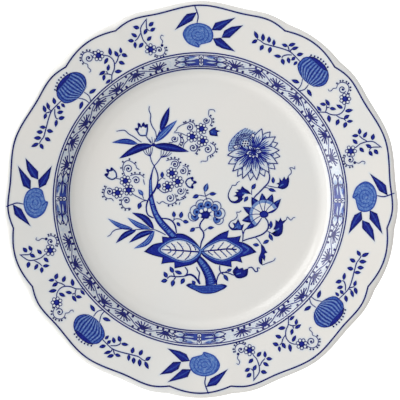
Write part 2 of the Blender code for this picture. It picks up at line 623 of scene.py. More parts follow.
@dataclass(frozen=True)
class Ware:
    """The turned wall of the plate, in millimetres, and its scalloped edge."""

    radius: float = NOMINAL_RADIUS
    well: float = 72.8
    shoulder_run: float = 19.7
    wall: float = 4.8
    cove_bend: float = 13.0
    verge_bend: float = 7.5
    edge_bend: float = 30.0
    shoulder_slope: float = math.radians(36)
    rim_slope: float = math.radians(10)
    edge_slope: float = math.radians(15)
    foot_height: float = 3.0
    foot_width: float = 4.8
    foot_setback: float = 1.6
    foot_fillet: float = 1.2
    foot_chamfer: float = 0.5
    wipe_height: float = 1.0
    glaze: float = 0.3
    fit_gap: float = 0.3
    lobes: int = 5
    saddle_angle: float = math.radians(12.8)
    hip_angle: float = math.radians(20.5)
    notch_angle: float = math.radians(26.6)
    at_roll: Drops = Drops(2.4, 1.3, 3.5, 0.6)
    at_edge: Drops = Drops(1.9, 0.8, 1.8, 0.5)

    @property
    def floor_height(self) -> float:
        """The height of the well's flat floor."""
        return self.foot_height + self.wall

    @property
    def verge(self) -> float:
        """The radius where the rim begins."""
        return self.well + self.shoulder_run

    @property
    def lip_start(self) -> float:
        """The radius where the lip begins to roll over."""
        return self.radius - self.wall / 2 * (1 + math.sin(self.edge_slope))

    @property
    def foot_radius(self) -> float:
        """The foot ring's outer radius."""
        return self.well - self.foot_setback

    def face(self, step: float) -> list[tuple[Point, float]]:
        """The face's line from the middle to the lip.

        Args:
            step: the longest run between two places of the line.

        Returns:
            Each place as ((radius, height), slope).
        """
        line: list[tuple[Point, float]] = [((0.0, self.floor_height), 0.0)]

        def run_to(radius: float) -> None:
            """Goes on straight, at the slope that the line has reached."""
            (start, height), slope = line[-1]
            steps = max(1, math.ceil((radius - start) / step))
            for k in range(1, steps + 1):
                along = (radius - start) * k / steps
                line.append(((start + along, height + along * math.tan(slope)), slope))

        def bend_to(slope: float, bend: float) -> None:
            """Goes round an arc to another slope."""
            (start, height), before = line[-1]
            turn = math.copysign(bend, slope - before)
            steps = max(3, math.ceil(bend * abs(slope - before) / (step * 0.6)))
            for k in range(1, steps + 1):
                angle = before + (slope - before) * k / steps
                across = turn * (math.sin(angle) - math.sin(before))
                line.append(((start + across, height + turn * (math.cos(before) - math.cos(angle))), angle))

        verge_length = self.verge_bend * (math.sin(self.shoulder_slope) - math.sin(self.rim_slope))
        edge_length = self.edge_bend * (math.sin(self.edge_slope) - math.sin(self.rim_slope))
        run_to(self.well)
        bend_to(self.shoulder_slope, self.cove_bend)
        run_to(self.verge - verge_length)
        bend_to(self.rim_slope, self.verge_bend)
        run_to(self.lip_start - edge_length)
        bend_to(self.edge_slope, self.edge_bend)
        return line

    @staticmethod
    def beneath(point: Point, slope: float, depth: float) -> Point:
        """The place at some depth under the face, square to it."""
        return (point[0] + depth * math.sin(slope), point[1] - depth * math.cos(slope))

    def wall_line(self, depth: float, face_step: float, back_step: float, lip_steps: int) -> list[Point]:
        """The line inside the wall: out along the face, round the lip and in along the back.

        Args:
            depth: how far inside the glazed wall it lies.
            face_step: the longest run on the face.
            back_step: the longest run on the back.
            lip_steps: how many steps go round the lip.

        Returns:
            Places as (radius, height), from the middle to the edge of the flat underside.
        """
        face = self.face(face_step)
        line = [(0.0, self.floor_height - depth)]
        line += [self.beneath(point, slope, depth) for point, slope in face[1:]]
        tip, slope = face[-1]
        centre = self.beneath(tip, slope, self.wall / 2)
        reach = self.wall / 2 - depth
        for k in range(1, lip_steps + 1):
            angle = slope - math.pi * k / lip_steps
            line.append((centre[0] - reach * math.sin(angle), centre[1] + reach * math.cos(angle)))
        back = [entry for entry in self.face(back_step) if entry[0][0] > self.well - 0.001]
        return line + [self.beneath(point, slope, self.wall - depth) for point, slope in back[-2::-1]]

    def foot_wall(self, radius: float, side: int, depth: float, bottom: float, steps: int) -> list[Point]:
        """One wall of the foot ring, from the flat underside down.

        Args:
            radius: the wall's radius, over its glaze.
            side: 1 for the outer wall and -1 for the inner one.
            depth: how far inside the glaze the line lies.
            bottom: the height where it ends.
            steps: how many steps go round the fillet.

        Returns:
            Places as (radius, height).
        """
        underside = self.floor_height - self.wall + depth
        wall = radius - side * depth
        fillet = self.foot_fillet + depth
        line = []
        for k in range(steps + 1):
            angle = math.pi / 2 * k / steps
            line.append((
                wall + side * fillet * (1 - math.sin(angle)), underside - fillet * (1 - math.cos(angle))
            ))
        return line + [(wall, bottom)]

    def drop(self, angle: float, drops: Drops) -> float:
        """How far the outline lies inside a long lobe's crest.

        Args:
            angle: the direction, clockwise from +Y.
            drops: the drops at each feature of the outline.

        Returns:
            The drop in millimetres.
        """
        half = math.pi / self.lobes
        off = abs((angle + half) % (2 * half) - half)
        if off < self.saddle_angle:
            return drops.saddle * eased(off / self.saddle_angle)
        if off < self.hip_angle:
            share = (off - self.saddle_angle) / (self.hip_angle - self.saddle_angle)
            return drops.saddle - (drops.saddle - drops.hip) * eased(share)
        if off < self.notch_angle:
            share = (off - self.hip_angle) / (self.notch_angle - self.hip_angle)
            return drops.hip + (drops.notch - drops.hip) * (1 - math.cos(math.pi / 2 * share))
        share = (off - self.notch_angle) / (half - self.notch_angle)
        return drops.notch - (drops.notch - drops.short_lobe) * math.sin(math.pi / 2 * share)

    def scalloped(self, radius: float, angle: float) -> float:
        """The radius that a place of the plain turned plate moves to."""
        roll = self.drop(angle, self.at_roll)
        edge = self.drop(angle, self.at_edge)
        over_rim = eased((radius - self.verge) / (self.lip_start - self.verge))
        over_lip = eased((radius - self.lip_start) / (self.radius - self.lip_start))
        return radius - over_rim * (roll + over_lip * (edge - roll))

    def plain(self, radius: float, angle: float) -> float:
        """The radius on the plain turned plate that scallops to this one."""
        guess = radius
        for _ in range(6):
            guess += radius - self.scalloped(guess, angle)
        return guess


WARE = Ware()
CREST_REACH = 0.1249182
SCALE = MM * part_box("glaze_coat")[1].y / CREST_REACH


def height_map(ware: Ware) -> Callable[[Point], float]:
    """Prepares the height of the glazed face over any place.

    Args:
        ware: the plate.

    Returns:
        A function from a place to the face's height there, both in millimetres.
    """
    line = [place for place, _ in ware.face(0.25)]
    radii = [place[0] for place in line]

    def height(place: Point) -> float:
        """The face's height over a place."""
        radius = math.hypot(*place)
        if radius > ware.verge:
            radius = ware.plain(radius, math.atan2(*place))
        if radius <= ware.well:
            return ware.floor_height
        if radius >= radii[-1]:
            beyond = radius - radii[-1]
            return line[-1][1] + beyond * math.tan(ware.edge_slope) - beyond * beyond / ware.wall
        k = bisect.bisect_right(radii, radius)
        share = (radius - radii[k - 1]) / (radii[k] - radii[k - 1])
        return line[k - 1][1] + (line[k][1] - line[k - 1][1]) * share

    return height


FACE_HEIGHT = height_map(WARE)


class Slot(Enum):
    """Names for the plate's three finishes: porcelain, glaze and cobalt."""

    PORCELAIN = "porcelain"
    GLAZE = "glaze"
    COBALT = "cobalt"


def clear_selection() -> None:
    """Deselects every object, so that an operator acts on nothing by surprise."""
    for obj in bpy.context.selected_objects:
        obj.select_set(False)


def linked(name: str, mesh: bpy.types.Mesh) -> bpy.types.Object:
    """Puts a mesh in the scene as the active and only selected object.

    Args:
        name: the object's name.
        mesh: its mesh.

    Returns:
        The object, at the origin.
    """
    clear_selection()
    piece = bpy.data.objects.new(name, mesh)
    bpy.context.scene.collection.objects.link(piece)
    piece.select_set(True)
    bpy.context.view_layer.objects.active = piece
    return piece


def dressed(piece: bpy.types.Object, material: bpy.types.Material) -> None:
    """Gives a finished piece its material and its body.

    Args:
        piece: the piece.
        material: its finish.
    """
    piece.data.materials.clear()
    piece.data.materials.append(material)
    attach(piece, BODY)
    LOG.info("%s: %d faces", piece.name, len(piece.data.polygons))


@dataclass(frozen=True)
class Turning:
    """A closed section spun about Z on the wheel, then pressed to the scalloped outline."""

    name: str
    section: list[Point]
    columns: int

    def thrown(self) -> bpy.types.Object:
        """Spins the section and presses its rim.

        Returns:
            The closed solid.
        """
        mesh = bpy.data.meshes.new(self.name)
        closed = self.section[-1][0] > 1e-6
        count = len(self.section)
        links = [(k, k + 1) for k in range(count - 1)] + ([(count - 1, 0)] if closed else [])
        mesh.from_pydata([(0.0, radius, height) for radius, height in self.section], links, [])
        piece = linked(self.name, mesh)
        bpy.ops.object.mode_set(mode="EDIT")
        bpy.ops.mesh.select_all(action="SELECT")
        bpy.ops.mesh.spin(steps=self.columns, angle=2 * math.pi, center=(0, 0, 0), axis=(0, 0, 1))
        bpy.ops.mesh.select_all(action="SELECT")
        bpy.ops.mesh.remove_doubles(threshold=1e-3)
        bpy.ops.mesh.normals_make_consistent(inside=False)
        bpy.ops.object.mode_set(mode="OBJECT")
        for vertex in mesh.vertices:
            angle = math.atan2(vertex.co.x, vertex.co.y)
            radius = WARE.scalloped(math.hypot(vertex.co.x, vertex.co.y), angle)
            vertex.co = Vector((radius * math.sin(angle), radius * math.cos(angle), vertex.co.z)) * SCALE
        mesh.shade_smooth()
        return piece


@dataclass(frozen=True)
class PlateBody:
    """The porcelain and its two coats of glaze."""

    ware: Ware = WARE
    face_step: float = 1.0
    back_step: float = 3.0
    coat_columns: int = 440
    bisque_columns: int = 160
    foot_columns: int = 240

    def coat_section(self) -> list[Point]:
        """The dipped coat: from the middle of the face, round the lip, to the wiped foot."""
        ware = self.ware
        outer = ware.wall_line(0.0, self.face_step, self.back_step, 14)
        outer += ware.foot_wall(ware.foot_radius, 1, 0.0, ware.wipe_height, 4)
        inner = ware.wall_line(ware.glaze, 7.0, 9.0, 4)
        inner += ware.foot_wall(ware.foot_radius, 1, ware.glaze, ware.wipe_height, 2)
        return outer + inner[::-1]

    def foot_well_section(self) -> list[Point]:
        """The coat on the underside, within the foot ring."""
        ware = self.ware
        lines = []
        for depth, steps in ((0.0, 5), (ware.glaze, 2)):
            middle = ware.floor_height - ware.wall + depth
            wall = ware.foot_wall(ware.foot_radius - ware.foot_width, -1, depth, ware.wipe_height, steps)
            spans = 20 if depth == 0 else 4
            lines.append([(wall[0][0] * k / spans, middle) for k in range(spans)] + wall)
        return lines[0] + lines[1][::-1]

    def bisque_section(self) -> list[Point]:
        """The porcelain under the glaze, standing on its bare contact face."""
        ware = self.ware
        depth = ware.glaze + ware.fit_gap
        outer = ware.foot_radius - depth
        inner = ware.foot_radius - ware.foot_width + depth
        line = ware.wall_line(depth, 6.0, 8.0, 5)
        line += ware.foot_wall(ware.foot_radius, 1, depth, ware.foot_chamfer, 3)
        contact = []
        for radius, start, end in ((outer, 0, 90), (inner, 90, 180)):
            side = 1 if start == 0 else -1
            heart = radius - side * ware.foot_chamfer
            for degrees in range(start + 18, end - 17, 18):
                x, z = around((heart, ware.foot_chamfer), ware.foot_chamfer, -degrees)
                contact.append((x, z))
        inside = ware.foot_wall(ware.foot_radius - ware.foot_width, -1, depth, ware.foot_chamfer, 3)
        return line + contact + inside[::-1] + [(0.0, ware.floor_height - ware.wall + depth)]

    def build(self, glaze: bpy.types.Material, bisque: bpy.types.Material) -> bpy.types.Object:
        """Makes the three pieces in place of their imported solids.

        Args:
            glaze: the glaze's finish.
            bisque: the bare porcelain's finish.

        Returns:
            The dipped coat, which carries the painting.
        """
        coat = Turning("glaze_coat_skin", self.coat_section(), self.coat_columns).thrown()
        well = Turning("foot_well_skin", self.foot_well_section(), self.foot_columns).thrown()
        body = Turning("porcelain_biscuit", self.bisque_section(), self.bisque_columns).thrown()
        dressed(coat, glaze)
        dressed(well, glaze)
        dressed(body, bisque)
        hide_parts("glaze_coat")
        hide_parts("foot_well_glaze")
        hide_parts("porcelain_body")
        return coat


# ---------------------------------------------------------------- the finishes


@dataclass
class Nodes:
    """A material's node tree, with the few moves that the finishes share."""

    tree: bpy.types.NodeTree

    def add(self, kind: str, **values: object) -> bpy.types.Node:
        """Adds a node and sets its properties.

        Args:
            kind: the node's type, without its ShaderNode prefix.
            values: its properties by name.

        Returns:
            The node.
        """
        node = self.tree.nodes.new("ShaderNode" + kind)
        for key, value in values.items():
            setattr(node, key, value)
        return node

    def link(self, source: bpy.types.NodeSocket, target: bpy.types.NodeSocket) -> None:
        """Joins an output to an input."""
        self.tree.links.new(source, target)

    def feed(self, target: bpy.types.NodeSocket, value: object) -> None:
        """Gives an input what it takes: another node's output or a plain value."""
        if isinstance(value, bpy.types.NodeSocket):
            self.link(value, target)
        else:
            target.default_value = value

    def reckon(self, operation: str, *terms: object, clamp: bool = False) -> bpy.types.NodeSocket:
        """Does a sum.

        Args:
            operation: what to do with the terms.
            terms: sockets or numbers, in the operation's order.
            clamp: whether the result is kept between 0 and 1.

        Returns:
            The result.
        """
        node = self.add("Math", operation=operation, use_clamp=clamp)
        for socket, term in zip(node.inputs, terms):
            self.feed(socket, term)
        return node.outputs[0]

    def ramp(
        self, stops: Sequence[tuple[float, Sequence[float]]], source: bpy.types.NodeSocket
    ) -> bpy.types.NodeSocket:
        """Turns a value into a colour.

        Args:
            stops: the places on the ramp, from 0 to 1, and their colours.
            source: the value.

        Returns:
            The colour.
        """
        node = self.add("ValToRGB")
        elements = node.color_ramp.elements
        while len(elements) < len(stops):
            elements.new(0.5)
        for element, (place, _) in zip(elements, stops):
            element.position = place
        for element, (_, colour) in zip(elements, stops):
            element.color = (*colour, 1.0)
        self.link(source, node.inputs["Fac"])
        return node.outputs["Color"]

    def noise(self, scale: float, detail: float, source: bpy.types.NodeSocket) -> bpy.types.NodeSocket:
        """Soft noise over the object's own coordinates.

        Args:
            scale: cells per metre.
            detail: finer octaves.
            source: the coordinates.

        Returns:
            The noise, about 0.5 on average.
        """
        node = self.add("TexNoise")
        node.inputs["Scale"].default_value = scale
        node.inputs["Detail"].default_value = detail
        self.link(source, node.inputs["Vector"])
        return node.outputs["Fac"]

    def spread(self, source: bpy.types.NodeSocket, low: object, high: object) -> bpy.types.NodeSocket:
        """Maps noise of 0.3 to 0.7 onto a range.

        Args:
            source: the noise.
            low: the result where it is lowest, as a number or a socket.
            high: the result where it is highest, as a number or a socket.

        Returns:
            The mapped value.
        """
        node = self.add("MapRange")
        for name, value in (("From Min", 0.3), ("From Max", 0.7), ("To Min", low), ("To Max", high)):
            self.feed(node.inputs[name], value)
        self.link(source, node.inputs["Value"])
        return node.outputs["Result"]

    def mix(
        self, share: bpy.types.NodeSocket | float, first: object, second: object
    ) -> bpy.types.NodeSocket:
        """Mixes two colours.

        Args:
            share: how much of the second.
            first: a socket or a colour.
            second: a socket or a colour.

        Returns:
            The mixed colour.
        """
        node = self.add("Mix", data_type="RGBA")
        self.feed(node.inputs[0], share)
        for index, value in ((6, first), (7, second)):
            self.feed(
                node.inputs[index], value if isinstance(value, bpy.types.NodeSocket) else (*value, 1.0)
            )
        return node.outputs[2]

    def bump(self, height: bpy.types.NodeSocket, strength: float, distance: float) -> bpy.types.NodeSocket:
        """Turns a height into a normal.

        Args:
            height: the height.
            strength: how strongly it shows.
            distance: how tall a height of 1 is, in metres.

        Returns:
            The normal.
        """
        node = self.add("Bump")
        node.inputs["Strength"].default_value = strength
        node.inputs["Distance"].default_value = distance
        self.link(height, node.inputs["Height"])
        return node.outputs["Normal"]


def group_of(name: str, inputs: dict[str, tuple[str, object]], outputs: dict[str, str]) -> Nodes:
    """Starts a node group with named inputs and outputs.

    Args:
        name: the group's name.
        inputs: for each input its socket type and default.
        outputs: for each output its socket type.

    Returns:
        The group's tree, with an input and an output node in it.
    """
    tree = bpy.data.node_groups.new(name, "ShaderNodeTree")
    for key, (kind, default) in inputs.items():
        socket = tree.interface.new_socket(name=key, in_out="INPUT", socket_type=kind)
        if default is not None:
            socket.default_value = default
    for key, kind in outputs.items():
        tree.interface.new_socket(name=key, in_out="OUTPUT", socket_type=kind)
    tree.nodes.new("NodeGroupInput")
    tree.nodes.new("NodeGroupOutput")
    return Nodes(tree)


class GlazeSurface:
    """The fired glaze's surface: slow waves, an orange-peel ripple, and a haze that varies its gloss."""

    ripple_share = 0.12
    relief_height = 0.0004

    def __init__(self) -> None:
        """Builds the group once, for every glazed material."""
        nodes = group_of(
            "fired_glaze_surface",
            {
                "Vector": ("NodeSocketVector", None),
                "Gloss Low": ("NodeSocketFloat", 0.05),
                "Gloss High": ("NodeSocketFloat", 0.12),
            },
            {"Roughness": "NodeSocketFloat", "Normal": "NodeSocketVector", "Cloud": "NodeSocketFloat"},
        )
        start = nodes.tree.nodes["Group Input"]
        end = nodes.tree.nodes["Group Output"]
        place = start.outputs["Vector"]
        haze = nodes.noise(55.0, 4.0, place)
        gloss = nodes.spread(haze, start.outputs["Gloss Low"], start.outputs["Gloss High"])
        ripple, wave = nodes.noise(420.0, 1.0, place), nodes.noise(38.0, 1.0, place)
        relief = nodes.reckon("MULTIPLY_ADD", ripple, self.ripple_share, wave)
        nodes.link(gloss, end.inputs["Roughness"])
        nodes.link(nodes.bump(relief, 0.5, self.relief_height), end.inputs["Normal"])
        nodes.link(nodes.noise(14.0, 3.0, place), end.inputs["Cloud"])
        self.tree = nodes.tree

    def placed(self, nodes: Nodes, low: float, high: float) -> bpy.types.Node:
        """Puts the group in a material.

        Args:
            nodes: the material's nodes.
            low: the lowest roughness.
            high: the highest roughness.

        Returns:
            The group's node.
        """
        node = nodes.add("Group", node_tree=self.tree)
        place = nodes.add("TexCoord")
        nodes.link(place.outputs["Object"], node.inputs["Vector"])
        node.inputs["Gloss Low"].default_value = low
        node.inputs["Gloss High"].default_value = high
        return node


GLAZE_IOR = 1.5


def new_material(name: str) -> tuple[bpy.types.Material, Nodes, bpy.types.Node]:
    """Starts a material with a Principled shader.

    Args:
        name: the material's name.

    Returns:
        The material, its nodes and its shader.
    """
    material = bpy.data.materials.new(name)
    material.use_nodes = True
    return material, Nodes(material.node_tree), material.node_tree.nodes["Principled BSDF"]


def glazed(
    nodes: Nodes, shader: bpy.types.Node, colour: bpy.types.NodeSocket, surface: bpy.types.Node
) -> None:
    """Covers a colour with clear glaze.

    Args:
        nodes: the material's nodes.
        shader: its shader.
        colour: what shows through the glaze.
        surface: the glaze surface's node.
    """
    nodes.link(colour, shader.inputs["Base Color"])
    for name in ("Roughness", "Normal"):
        nodes.link(surface.outputs[name], shader.inputs[name])
    shader.inputs["IOR"].default_value = GLAZE_IOR


@dataclass(frozen=True)
class CobaltRamp:
    """The colour of cobalt under glaze as the wash gets heavier."""

    stops: tuple[tuple[float, tuple[float, float, float]], ...] = (
        (0.0, (0.80, 0.79, 0.765)),
        (0.12, (0.66, 0.71, 0.77)),
        (0.3, (0.40, 0.51, 0.68)),
        (0.5, (0.085, 0.185, 0.50)),
        (0.62, (0.03, 0.075, 0.36)),
        (0.8, (0.012, 0.02, 0.27)),
        (1.0, (0.003, 0.003, 0.085)),
    )

    def placed(self, nodes: Nodes, tone: bpy.types.NodeSocket) -> bpy.types.NodeSocket:
        """The colour of a tone of cobalt from 0 to 1, in a material."""
        return nodes.ramp(self.stops, tone)


@dataclass(frozen=True)
class GlazeFinish:
    """Clear glaze over white porcelain, tinted where cobalt has bled into it."""

    surface: GlazeSurface
    ramp: CobaltRamp = CobaltRamp()
    cool: tuple[float, float, float] = (0.785, 0.79, 0.775)
    warm: tuple[float, float, float] = (0.81, 0.79, 0.755)
    bleed_gain: float = 9.0

    def build(self) -> bpy.types.Material:
        """Makes the material.

        Returns:
            The material.
        """
        material, nodes, shader = new_material("clear_glaze")
        surface = self.surface.placed(nodes, 0.045, 0.1)
        bled = nodes.add("Attribute", attribute_name="bleed")
        tint = self.ramp.placed(nodes, bled.outputs["Fac"])
        cloud = nodes.spread(surface.outputs["Cloud"], 0.0, 1.0)
        white = nodes.mix(cloud, self.cool, self.warm)
        edge = nodes.reckon("MULTIPLY", bled.outputs["Fac"], self.bleed_gain, clamp=True)
        glazed(nodes, shader, nodes.mix(edge, white, tint), surface)
        return material


@dataclass(frozen=True)
class CobaltFinish:
    """Cobalt brushed on the biscuit and sealed under the glaze."""

    surface: GlazeSurface
    ramp: CobaltRamp = CobaltRamp()

    def build(self) -> bpy.types.Material:
        """Makes the material, with the streaks and pools that a brush leaves.

        Returns:
            The material.
        """
        material, nodes, shader = new_material("cobalt_wash")
        surface = self.surface.placed(nodes, 0.05, 0.11)
        tone = nodes.add("Attribute", attribute_name="tone")
        place = nodes.add("TexCoord")
        pools = nodes.spread(nodes.noise(900.0, 2.0, place.outputs["Object"]), -0.07, 0.07)
        total = nodes.reckon("ADD", tone.outputs["Fac"], pools, clamp=True)
        glazed(nodes, shader, self.ramp.placed(nodes, total), surface)
        return material


@dataclass(frozen=True)
class BisqueFinish:
    """Bare porcelain, dry and faintly gritty, rubbed grey where it has slid on tables."""

    clean: tuple[float, float, float] = (0.74, 0.71, 0.65)
    worn: tuple[float, float, float] = (0.5, 0.47, 0.42)
    speck_share: float = 0.35

    def build(self) -> bpy.types.Material:
        """Makes the material.

        Returns:
            The material.
        """
        material, nodes, shader = new_material("bare_porcelain")
        place = nodes.add("TexCoord").outputs["Object"]
        rubbed = nodes.spread(nodes.noise(130.0, 5.0, place), -0.2, 0.7)
        speck = nodes.spread(nodes.noise(2600.0, 1.0, place), -0.5, 0.5)
        share = nodes.reckon("MULTIPLY_ADD", speck, self.speck_share, rubbed, clamp=True)
        nodes.link(nodes.mix(share, self.clean, self.worn), shader.inputs["Base Color"])
        nodes.link(nodes.spread(rubbed, 0.5, 0.72), shader.inputs["Roughness"])
        nodes.link(nodes.bump(speck, 0.25, 0.00008), shader.inputs["Normal"])
        return material


@dataclass(frozen=True)
class FloorFinish:
    """A plain floor that shows white from above, and that light and a view from beneath pass through."""

    colour: tuple[float, float, float] = (0.62, 0.62, 0.62)
    glow: float = 0.95

    def build(self) -> bpy.types.Material:
        """Makes the material.

        Returns:
            The material.
        """
        material, nodes, shader = new_material("pale_floor")
        shader.inputs["Base Color"].default_value = (*self.colour, 1.0)
        shader.inputs["Roughness"].default_value = 0.9
        shader.inputs["Emission Color"].default_value = (1.0, 1.0, 1.0, 1.0)
        shader.inputs["Emission Strength"].default_value = self.glow
        camera_ray = nodes.add("LightPath").outputs["Is Camera Ray"]
        from_below = nodes.add("NewGeometry").outputs["Backfacing"]
        nodes.link(nodes.reckon("SUBTRACT", camera_ray, from_below, clamp=True), shader.inputs["Alpha"])
        return material


# ---------------------------------------------------------------- the studio


@dataclass(frozen=True)
class Studio:
    """The floor, the soft light from the left, and a camera straight overhead."""

    width: float = 0.2509
    aim: tuple[float, float] = (-0.000125, -0.00019)
    camera_height: float = 2.5
    sky: float = 1.33
    from_left: float = 0.42
    warmth: tuple[float, float, float] = (1.0, 0.995, 0.985)
    room: tuple[tuple[float, float], ...] = (
        (0.0, 0.95), (0.08, 0.4), (0.32, 0.32), (0.6, 1.0), (0.8, 0.8), (0.93, 0.12), (1.0, 0.06)
    )

    def camera(self) -> None:
        """Sets the camera over the plate."""
        data = bpy.data.cameras.new("overhead")
        data.sensor_width = 36.0
        data.lens = 36.0 * (self.camera_height - 0.0213) / self.width
        data.clip_end = 20.0
        camera = bpy.data.objects.new("overhead", data)
        camera.location = (*self.aim, self.camera_height)
        bpy.context.scene.collection.objects.link(camera)
        bpy.context.scene.camera = camera

    def lamp(self, name: str, place: Vector, size: tuple[float, float], watts: float) -> None:
        """Hangs a soft rectangular light that faces the plate.

        Args:
            name: its name.
            place: where it hangs, in metres.
            size: its width and height.
            watts: its power.
        """
        data = bpy.data.lights.new(name, "AREA")
        data.shape = "RECTANGLE"
        data.size, data.size_y = size
        data.energy = watts
        light = bpy.data.objects.new(name, data)
        light.location = place
        light.rotation_euler = (Vector((0, 0, 0.01)) - place).to_track_quat("-Z", "Y").to_euler()
        bpy.context.scene.collection.objects.link(light)

    def floor(self, material: bpy.types.Material) -> None:
        """Lays the floor under the foot ring.

        Args:
            material: its finish.
        """
        clear_selection()
        bpy.ops.mesh.primitive_plane_add(size=6.0, location=(0, 0, -0.0002))
        floor = bpy.context.object
        floor.name = "floor"
        floor.data.materials.append(material)

    def world(self) -> None:
        """Fills the room with soft light from the sides, under a dark ceiling."""
        world = bpy.data.worlds.new("room")
        world.use_nodes = True
        nodes = Nodes(world.node_tree)
        shade = world.node_tree.nodes["Background"]
        height = nodes.add("SeparateXYZ")
        nodes.link(nodes.add("TexCoord").outputs["Generated"], height.inputs["Vector"])
        stops = [(place, [level * share for share in self.warmth]) for place, level in self.room]
        nodes.link(nodes.ramp(stops, height.outputs["Z"]), shade.inputs["Color"])
        tilt = nodes.reckon("MULTIPLY_ADD", height.outputs["X"], -self.sky * self.from_left, self.sky)
        nodes.link(tilt, shade.inputs["Strength"])
        bpy.context.scene.world = world

    def build(self) -> None:
        """Sets everything up."""
        self.world()
        self.camera()
        self.floor(FloorFinish().build())
        self.lamp("window_left", Vector((-1.6, 0.15, 0.52)), (1.8, 0.5), 9.0)
        self.lamp("overhead_left", Vector((-0.9, 0.8, 1.5)), (0.9, 0.9), 5.0)
        bpy.context.scene.view_settings.view_transform = "Standard"


# ---------------------------------------------------------------- laying the pigment on


def raised(marks: Iterable[Mark], steps: int = 2) -> list[Mark]:
    """The same marks, painted over the ones before."""
    return [replace(mark, layer=Layer(mark.layer + steps)) for mark in marks]


@dataclass
class Painter:
    """Lays marks on the face of the plate as thin sheets of pigment."""

    cobalt: bpy.types.Material
    lift: float = 0.035
    coat: float = 0.004
    cell: float = 0.8
    longest_span: float = 1.6
    dabs: list[Point] = field(default_factory=list)
    coats: dict[tuple[int, int], int] = field(default_factory=dict)

    def cells_under(self, loop: Sequence[Point]) -> Iterator[tuple[int, int]]:
        """The cells of a fine grid that a face may cover.

        Args:
            loop: the face's corners.

        Returns:
            The cells' columns and rows.
        """
        spans = [
            range(math.floor(min(values) / self.cell), math.floor(max(values) / self.cell) + 1)
            for values in zip(*loop)
        ]
        return itertools.product(*spans)

    def closer(self, sheet: Sheet) -> list[list[Dab]]:
        """A sheet's rows, with rows added where two lie far apart.

        Args:
            sheet: the sheet.

        Returns:
            Its rows.
        """
        rows = [sheet.rows[0]]
        for row in sheet.rows[1:]:
            before = rows[-1]
            if len(before) == len(row):
                span = max(math.dist(a[:2], b[:2]) for a, b in zip(before, row))
                steps = math.ceil(span / self.longest_span)
                for k in range(1, steps):
                    share = k / steps
                    rows.append([
                        (*between(a[:2], b[:2], share), a[2] + (b[2] - a[2]) * share)
                        for a, b in zip(before, row)
                    ])
            rows.append(row)
        return rows

    def lay(self, name: str, marks: Iterable[Mark], turn: float = 0.0) -> bpy.types.Object:
        """Makes one piece of a group of marks.

        Args:
            name: the piece's name.
            marks: the marks.
            turn: a turn about the middle of the plate, in degrees clockwise.

        Returns:
            The piece.
        """
        corners: list[Point] = []
        heights: list[float] = []
        tones: list[float] = []
        faces: list[list[int]] = []
        cosine, sine = math.cos(math.radians(turn)), math.sin(math.radians(turn))
        sheets = [sheet for mark in marks for sheet in mark.sheets()]
        for sheet in sorted(sheets, key=lambda sheet: sheet.layer):
            numbered = []
            for row in self.closer(sheet):
                numbered.append(range(len(corners), len(corners) + len(row)))
                for x, y, tone in row:
                    corners.append((x * cosine + y * sine, y * cosine - x * sine))
                    tones.append(tone)
            laid = []
            for low, high in zip(numbered, numbered[1:]):
                laid += self.joined(low, high, sheet.wraps, corners)
            faces += laid
            covered = {cell for loop in laid for cell in self.cells_under([corners[k] for k in loop])}
            coats = 1 + max((self.coats.get(cell, 0) for cell in covered), default=0)
            self.coats.update(dict.fromkeys(covered, coats))
            fresh = corners[numbered[0][0]:]
            heights += [FACE_HEIGHT(place) + self.lift + self.coat * coats for place in fresh]
            self.dabs += fresh
        mesh = bpy.data.meshes.new(name)
        mesh.from_pydata([Vector((*place, z)) * SCALE for place, z in zip(corners, heights)], [], faces)
        mesh.attributes.new("tone", "FLOAT", "POINT").data.foreach_set("value", tones)
        mesh.shade_smooth()
        piece = linked(name, mesh)
        dressed(piece, self.cobalt)
        return piece

    @staticmethod
    def joined(low: range, high: range, wraps: bool, corners: Sequence[Point]) -> list[list[int]]:
        """The faces between two rows of corners, turned to face up.

        Args:
            low: the first row's corners.
            high: the second row's corners.
            wraps: whether each row is a ring.
            corners: the places of all corners.

        Returns:
            The faces.
        """
        widest = max(len(low), len(high))
        faces = []
        for k in range(widest if wraps else widest - 1):
            ahead = (k + 1) % widest
            loop = [low[k] if len(low) > 1 else low[0]]
            if len(low) > 1:
                loop.append(low[ahead])
            loop.append(high[ahead] if len(high) > 1 else high[0])
            if len(high) > 1:
                loop.append(high[k])
            area = sum(
                corners[a][0] * corners[b][1] - corners[b][0] * corners[a][1]
                for a, b in zip(loop, loop[1:] + loop[:1])
            )
            if abs(area) > 1e-6:
                faces.append(loop if area > 0 else loop[::-1])
        return faces

    def bleed(self, coat: bpy.types.Object, reach: float = 1.0, strength: float = 0.13) -> None:
        """Tints the glaze close to the painting, where cobalt has run into it.

        Args:
            coat: the glaze.
            reach: how far it runs, in millimetres.
            strength: the tone at a mark's edge.
        """
        tree = KDTree(len(self.dabs))
        for index, dab in enumerate(self.dabs):
            tree.insert((*dab, 0.0), index)
        tree.balance()
        values = []
        for vertex in coat.data.vertices:
            x, y, z = vertex.co / SCALE
            near = math.hypot(x, y) < self.face_limit and z > FACE_HEIGHT((x, y)) - 0.2
            gap = tree.find((x, y, 0.0))[2] if near else 9.0
            values.append(strength * math.exp(-((gap / reach) ** 2)) if gap < 3 * reach else 0.0)
        coat.data.attributes.new("bleed", "FLOAT", "POINT").data.foreach_set("value", values)

    @property
    def face_limit(self) -> float:
        """The radius beyond which no cobalt has run."""
        return WARE.lip_start + 1.0


# ---------------------------------------------------------------- the rim's painting

Spray = Sequence[tuple[Point, Point, float]]


def foliage(rows: Spray, look: LeafLook = SPRIG) -> list[Mark]:
    """Leaves, each given by its base, its tip and its width."""
    return [Leaf([base, tip], width, look) for base, tip, width in rows]


def stems(width: float, *lines: Sequence[Point]) -> list[Mark]:
    """Fine stems of one width."""
    return [Stroke(line, width) for line in lines]


